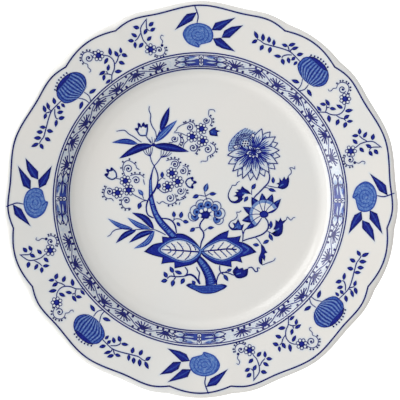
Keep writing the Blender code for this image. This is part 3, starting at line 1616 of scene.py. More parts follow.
def kite(corners: Sequence[Point], vein: Sequence[Point]) -> list[Mark]:
    """A broad leaf with firm corners and a pale vein.

    Args:
        corners: its corners in order.
        vein: the vein's places.

    Returns:
        Its marks.
    """
    heart = (sum(x for x, _ in corners) / len(corners), sum(y for _, y in corners) / len(corners))
    runs = [[corner] for corner in corners] + [[corners[0]]]
    return [Blob(runs, heart, 0.95, 0.84, border=0.6), Stroke(vein, 0.8, (0.8, 0.2), 0.74, Layer.LINE)]


def polar(radius: float, clockwise: float) -> Point:
    """A place on the plate by its radius and its direction."""
    return (radius * math.sin(math.radians(clockwise)), radius * math.cos(math.radians(clockwise)))


class RimQuarter:
    """A quarter of the rim: a peach, a branch, an onion and two sprays, from 12 to 3 o'clock."""

    def peach(self) -> list[Mark]:
        """The peach on its stem, with kite leaves on both sides."""
        edge = [
            (-0.7, 95.6), (0.2, 97.2), (3.2, 98.0), (7.0, 99.4), (8.3, 103.6), (6.0, 108.4), (-1.3, 110.9),
            (-8.4, 108.6), (-11.0, 103.8), (-8.0, 98.4), (-3.7, 96.2), (-0.7, 95.6)
        ]
        heart = (-1.2, 103.5)
        marks = kite(
            [(-2.0, 117.6), (-8.4, 116.5), (-10.4, 114.4), (-16.0, 106.4), (-4.9, 112.2)],
            [(-3.5, 116.0), (-8.5, 113.4), (-13.0, 109.0)]
        )
        marks += kite(
            [(7.0, 106.3), (9.3, 111.0), (13.5, 112.2), (22.2, 114.2), (12.7, 106.1)],
            [(8.5, 107.2), (12.8, 109.6), (18.5, 112.2)]
        )
        marks += kite(
            [(13.3, 101.5), (15.0, 106.0), (19.6, 108.5), (27.0, 109.4), (18.4, 101.5)],
            [(14.0, 102.5), (18.0, 105.2), (23.5, 107.8)]
        )
        marks += kite(
            [(7.8, 101.2), (10.0, 96.8), (14.2, 94.8), (22.0, 93.0), (12.9, 101.7)],
            [(9.0, 100.4), (13.0, 97.6), (18.5, 94.8)]
        )
        marks.append(Blob([edge], heart, 0.66, 0.5, Layer.LINE, border=0.88))
        for radius, start, end in ((2.1, 20, 330), (4.3, 100, 400), (6.5, -60, 190), (8.4, 80, 265)):
            marks.append(Ring(heart, radius, 0.55, 0.68, 0.84, (start, end), Layer.OVER))
        marks.append(Stroke([(-3.4, 99.2), (-1.6, 97.8), (-0.7, 95.8)], 0.7, (0.4, 1.0), 0.75, Layer.OVER))
        marks.append(Stroke([(-3.5, 121.7), (-2.3, 118.5), (-1.3, 115.0), (-2.0, 110.8)], 0.8))
        return marks

    def branch(self) -> list[Mark]:
        """The leafy branch that ends in the onion."""
        marks = stems(
            0.75,
            [(62.5, 86.8), (59.5, 90.0), (56.0, 93.0), (50.0, 95.2), (46.5, 96.1), (42.5, 97.2),
             (40.0, 98.0), (37.8, 99.7), (35.7, 100.8)],
            [(56.0, 93.0), (55.0, 96.4)], [(56.5, 93.0), (57.3, 94.6)],
            [(57.6, 90.8), (54.0, 90.8), (51.6, 89.8), (51.3, 88.8)]
        )
        return marks + foliage([
            ((36.2, 101.0), (33.9, 105.8), 2.4), ((35.9, 100.3), (32.3, 98.2), 2.4),
            ((39.4, 99.4), (39.4, 104.2), 2.6), ((39.6, 97.2), (37.5, 93.6), 2.6),
            ((43.1, 98.3), (43.2, 102.5), 2.6), ((44.2, 96.0), (43.2, 91.9), 2.6),
            ((46.1, 96.4), (46.3, 100.6), 2.2), ((54.9, 96.2), (51.1, 97.5), 2.2),
            ((55.4, 96.6), (59.9, 97.9), 2.4), ((57.1, 94.3), (61.8, 95.7), 2.2),
            ((60.4, 90.7), (64.8, 91.6), 2.4), ((50.9, 89.7), (46.2, 90.5), 2.2),
            ((51.3, 88.6), (52.5, 84.6), 2.6), ((55.0, 89.4), (56.0, 85.4), 2.4),
            ((59.7, 89.5), (57.1, 87.4), 2.2), ((61.0, 86.8), (58.5, 84.4), 2.0)
        ])

    def onion(self) -> list[Mark]:
        """The ribbed onion with its beaded crown, and its two rooted stems."""
        edge = [
            (62.5, 86.8), (65.0, 89.2), (68.5, 89.6), (73.5, 87.6), (79.6, 81.4), (80.6, 78.6), (80.2, 75.0),
            (78.0, 72.0), (74.0, 70.8), (70.0, 71.6), (66.0, 74.3), (63.2, 77.5), (61.2, 82.0), (61.2, 85.2),
            (62.5, 86.8)
        ]
        marks: list[Mark] = [Blob([edge], (70.8, 80.4), 0.9, 0.6, border=0.93)]
        belly, base, across = (70.3, 79.3), (67.4, 73.8), (0.79, -0.61)
        for k in range(17):
            out = (k - 8) / 8.6
            top = between((68.2, 88.6), (80.0, 79.2), k / 16)
            middle = (belly[0] + across[0] * 9.5 * out, belly[1] + across[1] * 9.5 * out)
            end = (base[0] + across[0] * 5.0 * out, base[1] + across[1] * 5.0 * out)
            tone, width = (0.95, 0.5) if k % 2 == 0 else (0.48, 0.6)
            marks.append(Stroke([top, middle, end], width, (0.9, 0.6), tone))
        crown = [
            [(68.0, 90.0), (71.4, 89.4), (75.2, 87.0), (78.4, 83.8), (80.2, 80.6)],
            [(78.6, 80.9), (75.4, 83.2), (71.9, 86.4), (68.0, 90.0)]
        ]
        marks.append(Blob(crown, (75.0, 84.8), 0.99, 0.84, Layer.OVER))
        for k in range(7):
            share = k / 6
            chord = between((69.6, 90.6), (80.0, 83.2), share)
            bead = shifted(chord, (0.58, 0.81), 1.5 * math.sin(math.pi * share))
            marks += [Disc(bead, 0.6), Stroke([(bead[0] - 0.8, bead[1] - 0.9), bead], 0.45)]
        marks += stems(
            0.6, [(61.0, 69.0), (63.3, 72.0), (64.3, 76.0)], [(61.5, 68.2), (65.5, 69.3), (68.0, 72.3)]
        )
        return marks + foliage([((62.3, 73.4), (57.2, 75.3), 2.4), ((67.2, 69.3), (70.0, 64.8), 2.4)])

    def sprays(self) -> list[Mark]:
        """The two small sprays, each with a rosette and a fringed scroll."""
        marks = stems(
            0.7,
            [(73.3, 55.0), (76.5, 55.0), (79.0, 54.8), (82.0, 53.5), (85.5, 53.2), (88.0, 54.0),
             (90.0, 56.0), (90.8, 58.0), (91.0, 60.6)],
            [(85.5, 52.8), (88.0, 51.3), (90.3, 50.6), (91.5, 49.3)],
            [(78.7, 55.2), (79.3, 57.0), (79.3, 59.6)], [(79.3, 57.6), (81.2, 58.2)],
            [(113.7, 32.7), (111.0, 34.8), (108.4, 36.4), (105.2, 36.5), (102.4, 35.8), (100.0, 34.8),
             (98.4, 33.4), (96.8, 32.2)],
            [(113.0, 33.0), (110.5, 33.0), (107.5, 32.7), (106.0, 31.0)],
            [(104.5, 36.8), (101.5, 38.5), (99.8, 40.2)]
        )
        marks += foliage([
            ((76.0, 55.6), (73.2, 58.9), 2.0), ((79.1, 59.6), (75.0, 60.3), 2.2),
            ((81.2, 59.0), (78.6, 63.0), 2.3), ((81.2, 57.5), (85.4, 56.7), 2.2),
            ((89.5, 57.3), (85.4, 59.6), 2.3), ((90.8, 55.5), (95.9, 56.3), 2.4),
            ((90.1, 50.9), (93.7, 53.1), 2.5), ((92.0, 49.0), (95.9, 49.4), 2.0),
            ((91.7, 48.8), (90.2, 44.9), 2.6), ((87.0, 50.6), (85.4, 46.6), 2.5),
            ((80.6, 53.2), (81.2, 48.4), 2.5), ((99.9, 40.8), (100.1, 44.8), 2.4),
            ((99.4, 40.3), (95.1, 40.0), 2.2), ((102.3, 38.8), (104.6, 42.6), 2.3),
            ((98.7, 35.0), (95.6, 37.9), 2.4), ((107.8, 37.3), (108.8, 41.4), 2.6),
            ((107.4, 32.6), (103.8, 34.7), 2.4), ((99.9, 32.7), (102.8, 29.8), 2.4),
            ((105.9, 30.7), (108.0, 27.3), 2.4), ((109.0, 31.5), (111.6, 28.4), 2.6)
        ])
        marks += rosette((90.9, 63.2), 7) + rosette((94.6, 30.5), 6)
        marks += scroll((89.2, 69.3), 2.3, -30, 1.4)
        marks += fringe([
            (92.0, 66.2), (93.3, 69.5), (92.3, 72.3), (90.0, 73.5), (87.5, 73.3), (86.0, 71.8)
        ], 8, -1)
        marks += stems(
            0.5, [(86.0, 71.8), (85.3, 70.0), (83.5, 69.8), (82.0, 68.2), (80.8, 68.3), (80.5, 69.3)]
        )
        marks += scroll((94.3, 25.0), 2.0, 120, 1.3)
        marks += fringe([(91.4, 28.0), (90.4, 25.0), (91.5, 22.3), (94.0, 21.3), (96.0, 21.8)], 7, -1)
        marks.append(Disc((97.0, 23.3), 0.9))
        marks += stems(0.5, [(97.2, 23.6), (99.6, 22.9), (101.8, 24.2), (103.5, 23.4), (102.8, 22.3)])
        return marks

    def marks(self) -> list[Mark]:
        """All the marks of the quarter."""
        return self.peach() + self.branch() + self.onion() + self.sprays()


@dataclass(frozen=True)
class Band:
    """The patterned band on the shoulder, between its double rules."""

    rules: tuple[tuple[float, float], ...] = ((92.3, 0.85), (90.9, 0.7), (83.8, 0.7), (82.6, 0.85))
    middle: float = 87.35
    drawn_middle: float = 86.7
    squeeze: float = 0.84
    arc_radius: float = 87.0
    axis: float = 86.8
    panel_at: float = 0.6
    first_flower: float = 22.2
    flower_pitch: float = 14.58
    flowers: int = 7
    rays: int = 7
    steps: int = 300

    def circles(self) -> list[Mark]:
        """The pale ground and the four rules, round the whole plate."""
        _, (top, _), (bottom, _), _ = self.rules
        inner, outer = (
            [polar(radius, 360 * k / self.steps) for k in range(self.steps + 1)] for radius in (bottom, top)
        )
        ground: list[Mark] = [Strip(inner, outer, (0.13, 0.13), Layer.WASH, 12)]
        return ground + [Hoop(radius, width) for radius, width in self.rules]

    def place(self, along: float, radius: float) -> Point:
        """A place in the band, from its place on a drawing that is a little taller than the band."""
        reach = self.middle + self.squeeze * (radius - self.drawn_middle)
        return polar(reach, math.degrees(along / self.arc_radius))

    def beside(self, across: float, radius: float) -> Point:
        """A place in the band, measured from the middle of the panel."""
        return self.place(self.panel_at + across, radius)

    def panel(self) -> list[Mark]:
        """The panel in the middle of a quarter: three ringed dots between flames and almonds."""
        marks: list[Mark] = []
        for side in (-1, 1):
            top, bottom = (
                [self.beside(side * x, radius) for x in (1.0, 4.0, 7.0, 9.6)] for radius in (90.2, 83.1)
            )
            marks.append(Strip(top, bottom, (0.66, 0.7), Layer.WASH))
            for start, end, radius, width, look in (
                (2.0, 16.4, 86.8, 1.2, LeafLook(0.9, 0.84)), (2.0, 9.4, 90.0, 0.9, LeafLook(0.85, 0.7)),
                (3.2, 11.0, 87.9, 0.9, LeafLook(0.34, 0.2)), (3.2, 11.0, 85.8, 0.9, LeafLook(0.34, 0.2)),
                (2.6, 9.0, 84.0, 1.0, LeafLook(0.9, 0.84)), (3.6, 9.4, 89.2, 1.1, LeafLook(0.5, 0.46))
            ):
                ends = [self.beside(side * start, radius), self.beside(side * end, radius)]
                marks.append(Leaf(ends, width, look, 0.5))
            for start, end, radius in ((7.4, 16.2, 88.8), (7.8, 17.2, 84.9)):
                almond = petal(self.beside(side * start, radius), self.beside(side * end, radius), 3.1, 0)
                marks += raised(almond, 1)
            for x, radius in ((15.6, 86.8), (9.8, 88.6), (9.8, 85.0)):
                marks.append(Disc(self.beside(side * x, radius), 0.6))
        for radius in (89.4, 87.0, 84.5):
            marks += raised(pearl(self.beside(0.0, radius), 1.4), 2)
            marks.append(Disc(self.beside(0.0, radius), 0.5, 0.9, 0.9, layer=Layer.TOP))
        return marks

    def flower(self, along: float, side: int) -> list[Mark]:
        """One star flower: a dark lens with a fan of rays, and beads behind it.

        Args:
            along: where it stands.
            side: 1 when its rays point away from the middle of the plate and -1 when they point to it.

        Returns:
            Its marks.
        """
        root = self.axis - side * 0.6
        lens = [self.place(along - 2.9, root), self.place(along + 2.9, root)]
        marks: list[Mark] = [Leaf(lens, 2.5, LeafLook(0.98, 0.96), 0.5)]
        for k in range(self.rays):
            angle = math.radians(-78 + 26 * k)
            foot = self.place(along + 1.9 * math.sin(angle), root + side * 0.7 * math.cos(angle))
            tip = self.place(along + 5.9 * math.sin(angle), root + side * (0.4 + 3.5 * math.cos(angle)))
            marks.append(Stroke([foot, tip], 0.72, (1.0, 1.35), 0.98))
        for x in (-1.8, 0.0, 1.8):
            back = [self.place(along + 0.5 * x, root), self.place(along + 1.3 * x, root - side * 2.3)]
            marks.append(Stroke(back, 0.55, (1.0, 0.8), 0.96))
        for x in (-5.8, -2.0, 2.0, 5.8):
            marks.append(Disc(self.place(along + x, root - side * 2.6), 0.84, 0.96, 0.96))
        return marks

    def garland(self) -> list[Mark]:
        """The star flowers of a quarter and the thin wave that links them."""
        marks: list[Mark] = []
        wave = [self.place(17.6, 86.4)]
        for k in range(self.flowers):
            along, side = self.first_flower + self.flower_pitch * k, 1 - 2 * (k % 2)
            marks += self.flower(along, side)
            for x, y in ((-4.0, 1.6), (0.0, 2.2), (4.0, 1.6)):
                wave.append(self.place(along + x, self.axis - side * y))
        return [*marks, Stroke(wave, 0.6, tone=0.94)]

    def marks(self) -> list[Mark]:
        """The panel and the garland of a quarter."""
        return self.panel() + self.garland()


# ---------------------------------------------------------------- the bouquet in the well


def big_leaf(
    places: Sequence[Point], width: float, look: LeafLook = DARK, belly: float = 0.42
) -> list[Mark]:
    """A long pointed leaf with a vein.

    Args:
        places: its middle line, from base to tip.
        width: across its widest place.
        look: its tones.
        belly: how far along it is widest.

    Returns:
        Its marks.
    """
    line = flow(places, 2.0)
    vein = line[1:max(3, round(len(line) * 0.75))]
    tone = 0.72 if look.core > 0.6 else 0.74
    return [Leaf(places, width, look, belly), Stroke(vein, 0.55, (0.8, 0.2), tone, Layer.LINE)]


def dark_tulip(
    runs: Sequence[Sequence[Point]], heart: Point, look: LeafLook = LeafLook(0.96, 0.85)
) -> list[Mark]:
    """A tulip filled with dark wash round a lighter heart."""
    return [
        Blob(runs, heart, look.rim, look.core, border=0.55),
        Stroke([between(runs[0][0], heart, 0.35), heart], 0.7, (0.3, 0.8), 0.55, Layer.LINE)
    ]


class Bouquet:
    """The bouquet: a crooked trunk with lilies, a chrysanthemum, a peony and two saw-edged leaves."""

    def crown(self) -> list[Mark]:
        """The long leaves, the pale bud and the calyxes at the top of the trunk."""
        marks = big_leaf([(-30.0, 34.3), (-38.0, 32.8), (-51.1, 26.0)], 5.0)
        marks += big_leaf([(-29.5, 34.2), (-18.0, 32.8), (-7.1, 30.3)], 5.2)
        marks += big_leaf([(-39.5, 35.2), (-47.0, 36.8), (-55.6, 36.1)], 3.6, LeafLook(0.85, 0.6))
        marks += big_leaf([(-25.0, 43.6), (-22.4, 50.0), (-19.5, 58.4)], 4.4)
        marks += big_leaf([(-28.5, 36.5), (-23.0, 42.0), (-14.6, 50.1)], 4.6, STEEL)
        marks += stems(
            0.6, [(-30.0, 34.6), (-34.0, 35.0), (-39.8, 35.2)], [(-28.6, 36.4), (-25.4, 43.8)],
            [(-34.4, 40.4), (-32.6, 37.8), (-31.0, 35.5)]
        )
        marks += bud([
            [(-34.0, 40.4), (-37.8, 40.6), (-39.8, 43.3), (-41.1, 44.8)], [(-38.9, 44.9)], [(-39.1, 48.3)],
            [(-37.3, 45.6)], [(-35.6, 48.6)], [(-34.8, 45.8)], [(-33.3, 47.6)],
            [(-33.3, 43.9), (-34.0, 40.4)]
        ], (-36.6, 43.2), 0.75)
        marks += stems(
            0.65,
            [(-32.1, 59.0), (-32.3, 56.5), (-31.2, 53.5), (-31.4, 49.6), (-30.2, 46.2), (-28.2, 42.8),
             (-27.6, 39.4)],
            [(-52.8, 43.2), (-47.7, 43.7), (-45.1, 41.5), (-42.1, 39.8), (-39.5, 37.9), (-37.0, 36.2)]
        )
        for apex, tips in (
            ((-31.5, 27.2), [(-35.9, 31.2), (-34.4, 32.2), (-32.7, 32.9), (-31.1, 33.2), (-30.0, 33.0)]),
            ((-24.9, 26.4), [(-24.6, 31.4), (-22.7, 31.5), (-20.6, 31.3), (-18.7, 30.9), (-18.0, 29.6)])
        ):
            for tip in tips:
                bow = between(apex, tip, 0.55)
                marks.append(Stroke([apex, (bow[0] + 0.18 * (tip[0] - apex[0]), bow[1] - 0.3), tip], 0.45))
        marks += stems(
            0.4, [(-30.2, 35.0), (-32.2, 38.4)], [(-29.8, 35.0), (-30.6, 39.4)],
            [(-29.2, 35.0), (-28.6, 38.8)]
        )
        marks.append(Disc((-29.4, 34.6), 1.2, 1.0, 0.9, layer=Layer.OVER))
        return marks

    def trunk(self) -> list[Mark]:
        """The crossing stems and the trunk, down to the saw-edged leaves."""
        marks: list[Mark] = [
            Trunk(
                [(-24.9, 26.4), (-26.9, 23.6), (-29.0, 21.1), (-30.3, 17.4), (-31.4, 12.0)],
                (0.6, 0.6, 0.7, 1.0, 1.7), (), LeafLook(0.97, 0.78)
            ),
            Trunk(
                [(-31.4, 12.5), (-31.3, 7.0), (-30.9, 1.0), (-29.8, -4.0), (-27.9, -9.4), (-24.6, -14.6),
                 (-20.6, -19.0), (-17.4, -22.4), (-14.6, -25.4)],
                (1.7, 2.2, 2.9, 3.5, 3.8, 4.4, 4.6, 4.8, 4.9), (0.24, 0.36, 0.5, 0.66, 0.74, 0.84, 0.92)
            ),
            Trunk(
                [(-31.5, 27.2), (-30.6, 24.0), (-29.0, 21.1), (-27.3, 17.4), (-26.6, 13.6), (-27.3, 9.0),
                 (-29.4, 4.8), (-31.9, 1.5), (-33.6, -2.3), (-34.0, -6.0), (-32.9, -9.6), (-29.4, -11.6)],
                (0.6, 0.6, 0.7, 0.8, 0.9, 1.0, 1.3, 1.1, 1.0, 0.9, 0.9, 0.8), (), LeafLook(0.97, 0.86),
                Layer.LINE
            )
        ]
        for k in range(4):
            marks.append(
                Stroke([(-30.6 + 0.5 * k, -2.6 - 1.2 * k), (-29.0 + 0.5 * k, -3.4 - 1.2 * k)], 0.6, tone=0.9)
            )
            marks.append(Stroke([(-24.3 + 0.9 * k, -16.4 - k), (-22.4 + 0.9 * k, -15.2 - k)], 0.6, tone=0.9))
        marks.append(
            Stroke([(-24.4, -11.7), (-19.9, -12.3), (-17.4, -13.8), (-15.7, -16.8), (-15.0, -21.0)], 1.0)
        )
        return marks

    def left_cluster(self) -> list[Mark]:
        """The rosettes, scrolls and pale bud to the left of the trunk."""
        marks = rosette((-47.2, 11.9)) + rosette((-52.1, 4.4)) + rosette((-45.1, 6.1), 6)
        marks += scroll((-45.3, 19.4), 2.6, 200) + scroll((-40.4, 12.2), 2.3, 160)
        marks += scroll((-57.2, 5.0), 2.2, 130) + scroll((-46.5, -0.5), 2.2, 180)
        marks += fringe([
            (-47.5, 15.5), (-48.9, 19.3), (-48.0, 23.3), (-45.5, 24.7), (-42.1, 23.2), (-40.4, 21.5)
        ], 5)
        marks += fringe([(-44.2, 15.1), (-40.4, 16.1), (-37.0, 15.5), (-35.3, 13.8)], 4)
        marks += fringe([(-59.0, 8.6), (-60.5, 5.3), (-60.5, 2.3), (-58.3, 0.6)], 5, -1)
        marks += fringe([(-49.6, 0.4), (-49.6, -2.7), (-47.7, -5.3), (-44.2, -5.3)], 5, -1)
        marks += stems(
            0.55, [(-40.4, 21.5), (-40.2, 20.2), (-38.3, 18.9)], [(-58.3, 0.6), (-55.8, 0.6), (-54.7, -0.9)],
            [(-44.2, -5.3), (-43.9, -6.3)], [(-35.9, 12.9), (-35.1, 9.5)], [(-36.8, 4.0), (-35.7, 0.6)],
            [(-43.0, 4.2), (-41.5, 2.9), (-38.7, 1.4), (-36.1, 0.1), (-33.5, -0.5)],
            [(-33.8, -0.6), (-36.0, -0.9), (-37.8, -2.0)], [(-53.0, 13.4), (-49.8, 12.9)]
        )
        marks += bud([
            [(-52.6, 14.2), (-53.2, 17.2), (-56.0, 20.3)], [(-56.4, 18.2)], [(-59.2, 19.2)], [(-57.8, 16.6)],
            [(-60.3, 15.8)], [(-57.6, 13.4), (-55.2, 12.8), (-52.6, 14.2)]
        ], (-55.4, 15.6), 0.8)
        marks += foliage([((-37.6, -1.8), (-39.0, -6.0), 2.8)], SOFT)
        return marks + foliage([((-35.9, 2.8), (-39.2, 6.4), 2.6)], STEEL)

    def middle_cluster(self) -> list[Mark]:
        """The rosettes, scrolls and pale bud to the right of the trunk."""
        marks = rosette((-17.8, 16.8)) + rosette((-14.2, 11.4), 7, 2.6, 1.1) + rosette((-20.4, 8.2))
        marks += scroll((-15.9, 22.3), 2.2, 190) + scroll((-11.0, 18.1), 2.1, 90)
        marks += scroll((-12.5, 5.5), 2.3, 40) + scroll((-19.1, 1.1), 2.5, 60)
        marks += fringe([(-21.4, 24.6), (-16.9, 25.6), (-14.2, 24.9), (-12.9, 21.9)], 5)
        marks += fringe([(-11.0, 21.6), (-8.4, 20.6), (-7.5, 18.1), (-8.2, 15.3)], 4)
        marks += fringe([(-9.3, 7.0), (-8.8, 4.4), (-10.1, 2.3), (-12.2, 1.0)], 4)
        marks += fringe([(-16.0, 3.6), (-15.0, -0.6), (-16.5, -2.1), (-19.1, -2.9), (-21.2, -2.5)], 5)
        marks += stems(
            0.55, [(-12.9, 21.9), (-14.8, 19.3)],
            [(-21.2, -2.5), (-24.0, -1.2), (-25.9, -2.5), (-27.4, -1.2)],
            [(-15.0, -0.6), (-11.8, 0.1), (-9.0, 1.6)], [(-12.7, -1.4), (-13.3, -3.3)],
            [(-22.0, 13.0), (-24.0, 13.8), (-26.3, 11.7)],
            [(-19.6, 5.6), (-22.6, 4.4), (-25.8, 6.4), (-27.2, 9.0)]
        )
        marks += bud([
            [(-9.3, 10.9), (-8.0, 13.0), (-4.6, 14.2)], [(-5.2, 12.2)], [(-2.3, 11.0)], [(-5.2, 9.6)],
            [(-4.5, 7.2)], [(-7.6, 8.2), (-9.3, 10.9)]
        ], (-6.7, 10.9), 0.8)
        return marks + foliage([
            ((-24.0, 13.8), (-24.0, 17.8), 2.4), ((-25.5, 10.4), (-26.9, 6.4), 2.8)
        ], SOFT)

    def top_cluster(self) -> list[Mark]:
        """The rosettes and scrolls between the lily leaf and the chrysanthemum."""
        marks = rosette((-5.0, 39.8)) + rosette((0.9, 44.7)) + rosette((1.5, 37.0))
        marks += scroll((-6.7, 45.6), 2.2, 100) + scroll((-16.3, 38.3), 2.1, 30)
        marks += scroll((-4.6, 32.8), 2.5, 60) + scroll((3.7, 49.9), 1.9, 20) + scroll((4.7, 31.8), 2.4, 80)
        marks += fringe([(-11.4, 47.3), (-9.3, 47.9), (-6.3, 49.2), (-3.7, 48.0), (-3.2, 45.8)], 5)
        marks += fringe([(-13.9, 41.6), (-12.3, 39.0), (-12.4, 36.4), (-14.0, 33.9)], 4)
        marks += fringe([(6.1, 46.6), (7.2, 48.4), (7.3, 50.6), (5.4, 53.0)], 4, -1)
        marks += fringe([(6.4, 36.0), (9.2, 33.8), (9.7, 31.3), (7.9, 28.9), (5.0, 27.4)], 6)
        marks += fringe([(-1.9, 34.4), (-1.4, 31.6), (-3.2, 28.9)], 3)
        marks += stems(
            0.5, [(-16.3, 42.8), (-15.0, 43.7), (-14.2, 45.4), (-11.4, 47.3)],
            [(-16.7, 42.2), (-12.4, 42.0), (-8.4, 40.2)], [(-12.4, 40.2), (-10.4, 37.0), (-11.8, 33.8)],
            [(5.2, 53.2), (5.4, 55.2), (5.6, 56.5), (8.8, 56.5), (9.3, 55.4)],
            [(5.0, 27.4), (4.7, 27.0), (4.3, 24.5), (0.7, 24.2), (0.5, 23.4)],
            [(-19.9, 36.0), (-17.0, 36.0)], [(-7.0, 38.0), (-10.0, 35.2), (-11.0, 32.0)]
        )
        return marks + dark_tulip(
            [[(5.4, 43.2), (7.6, 45.0), (9.9, 45.8)], [(9.8, 44.2)], [(12.6, 43.3)], [(10.6, 42.4)],
             [(11.2, 40.0)], [(8.4, 40.2), (6.2, 40.7), (5.4, 43.2)]],
            (8.2, 42.6), LeafLook(1.0, 0.72)
        )

    def chrysanthemum(self) -> list[Mark]:
        """The big flower on the right, with its ball of seeds and its ruff of petals."""
        centre, ball = (33.8, 31.0), (28.5, 35.4)
        behind = (
            (44.1, 42.8), (49.0, 35.6), (50.4, 27.2), (47.3, 19.2), (40.6, 14.6), (31.6, 12.1), (23.5, 14.6),
            (17.7, 22.6), (20.4, 33.4), (33.2, 42.2)
        )
        before = (
            (38.8, 44.8), (47.5, 39.7), (49.9, 31.2), (48.9, 22.7), (43.5, 17.1), (35.7, 12.4), (26.7, 13.3),
            (20.4, 17.9), (17.1, 28.0)
        )
        head = flow([
            (17.9, 30.6), (18.2, 34.9), (21.2, 39.6), (25.9, 43.6), (31.0, 45.8), (37.6, 46.0)
        ], 0.8)
        inside = flow([
            (22.9, 31.0), (23.0, 34.4), (24.6, 37.2), (27.6, 39.6), (31.6, 41.0), (36.6, 41.6)
        ], 0.8)
        count = min(len(head), len(inside))
        edge, root = head[:count], inside[:count]
        marks: list[Mark] = [Strip(edge, root, (0.36, 0.34), Layer.WASH), Stroke(edge[::4], 0.5, tone=0.75)]
        for k in range(0, count, 2):
            for row in range(5):
                marks.append(
                    Disc(between(edge[k], root[k], 0.12 + 0.2 * row + 0.1 * (k // 2 % 2)), 0.38, 0.93, 0.93)
                )
        marks.append(Disc(ball, 6.2, 0.34, 0.34, layer=Layer.FILL))
        for k in range(4):
            marks.append(Ring(ball, 3.3 + 0.95 * k, 0.55, 0.98, span=(-60 + 6 * k, 250 - 20 * k)))
        for k in range(9):
            row, place = divmod(k, 3)
            spot = (ball[0] - 1.7 + 1.6 * place + 0.4 * (row - 1), ball[1] - 1.5 + 1.5 * row)
            marks.append(Disc(spot, 0.6, layer=Layer.OVER))
        marks.append(Disc(ball, 2.9, 0.5, 0.12, layer=Layer.LINE))
        for tip in behind:
            marks += petal(between(centre, tip, 0.42), tip, 4.3, 2)
        for tip in before:
            marks += raised(petal(between(centre, tip, 0.12), tip, 5.2, 5))
        for degrees, reach in (
            (350, 5.4), (20, 4.4), (300, 5.6), (265, 5.2), (235, 5.6), (205, 5.6), (140, 4.6)
        ):
            small = petal(around(centre, 0.4, degrees), around(centre, reach, degrees), 2.5, 1)
            marks += raised([replace(small[0], look=LeafLook(0.3, 0.14)), *small[2:]], 4)
        marks.append(Disc(centre, 1.0, 0.97, 0.97, layer=Layer.CREST))
        stem = [(43.1, 17.6), (43.8, 14.2), (42.9, 10.8), (39.9, 7.4), (37.0, 4.4), (34.8, 2.3), (33.0, 0.0)]
        return marks + [Stroke(stem, 0.9)]

    def right_side(self) -> list[Mark]:
        """The two dark tulips and the leaves under the chrysanthemum."""
        marks = dark_tulip([
            [(32.1, 3.5), (29.4, 4.5), (27.6, 3.0), (25.8, 0.9), (24.1, -0.7)], [(23.5, 1.7)], [(21.0, 2.2)],
            [(22.9, 3.5)], [(22.0, 4.7)], [(24.1, 5.2)], [(22.9, 6.4)], [(25.3, 6.6)], [(26.5, 8.6)],
            [(28.2, 7.1), (30.4, 5.7), (32.1, 3.5)]
        ], (26.5, 4.2))
        marks.append(
            Trunk(
                [
                    (26.3, 1.6), (24.3, -0.7), (21.7, -1.6), (19.1, -0.7), (17.7, 2.1), (18.3, 5.2),
                    (19.7, 7.9)
                ],
                (2.8, 2.3, 1.5, 1.0, 0.7, 0.6, 0.5), (), LeafLook(0.97, 0.92)
            )
        )
        marks += stems(
            0.55, [(19.7, 7.9), (20.2, 9.0), (22.2, 9.1), (22.9, 9.8), (23.4, 10.8), (24.8, 11.5)],
            [(32.5, 6.5), (32.3, 3.1)], [(42.4, 8.8), (45.8, 8.1), (49.0, 7.5)],
            [(40.6, 7.7), (42.6, 7.4), (43.6, 6.4)],
            [
                (55.6, 15.0), (57.4, 16.8), (57.2, 18.9), (56.4, 20.0), (58.5, 20.0), (59.6, 19.3),
                (59.6, 21.0)
            ]
        )
        marks += dark_tulip([
            [(48.6, 7.5), (49.6, 9.3)], [(48.0, 10.1)], [(49.9, 11.0)], [(50.0, 13.8)], [(51.4, 12.0)],
            [(53.0, 14.6)], [(54.1, 12.6)], [(55.7, 15.4)],
            [(56.1, 11.4), (55.0, 8.1), (52.1, 6.6), (48.6, 7.5)]
        ], (52.4, 9.8))
        return marks + foliage([
            ((32.5, 6.5), (35.0, 10.2), 2.6), ((46.1, 10.2), (45.9, 14.4), 2.3),
            ((42.9, 6.8), (47.8, 5.3), 2.3), ((30.1, 2.1), (27.6, -1.4), 2.4)
        ], SOFT)

    def peony(self) -> list[Mark]:
        """The half-open peony seen from the side."""
        heart = (40.2, -9.2)
        tips = [
            (51.0, 0.6), (45.5, 3.6), (38.9, 4.2), (32.4, 1.7), (26.9, -4.6), (26.2, -13.2), (28.6, -18.9)
        ]
        valleys = [(46.3, -1.8), (41.8, 0.1), (37.1, -0.9), (32.6, -4.9), (30.6, -9.6), (31.7, -14.6)]
        edge: list[list[Point]] = [[(43.2, -8.5), (45.8, -7.8), (48.3, -5.6), (50.1, -2.4), tips[0]]]
        for valley, (before, after) in zip(valleys, zip(tips, tips[1:])):
            for a, b in ((before, valley), (valley, after)):
                out = between(heart, between(a, b, 0.5), 1.04)
                edge.append([out, b])
        edge.append([(33.7, -17.5), (36.9, -14.5), (38.8, -11.4)])
        edge.append([(43.2, -8.5)])
        marks: list[Mark] = [Blob(edge, heart, 0.96, 0.86, border=0.8)]
        for inner, outer, tone, layer in ((2.0, 9.1, 0.44, Layer.LINE), (2.0, 7.2, 0.07, Layer.OVER)):
            marks.append(Strip(arc(heart, inner, 26, 233), arc(heart, outer, 26, 233), (tone, tone), layer))
        marks.append(
            Stroke(
                [(43.2, -8.5), (45.8, -7.8), (48.3, -5.6), (49.6, -3.4)], 0.6, tone=0.95, layer=Layer.DETAIL
            )
        )
        marks.append(
            Stroke(
                [(32.6, -17.6), (35.2, -16.4), (37.2, -14.0), (38.8, -11.4)], 0.6, tone=0.95,
                layer=Layer.DETAIL
            )
        )
        for valley in valleys:
            bow = between(heart, valley, 0.55)
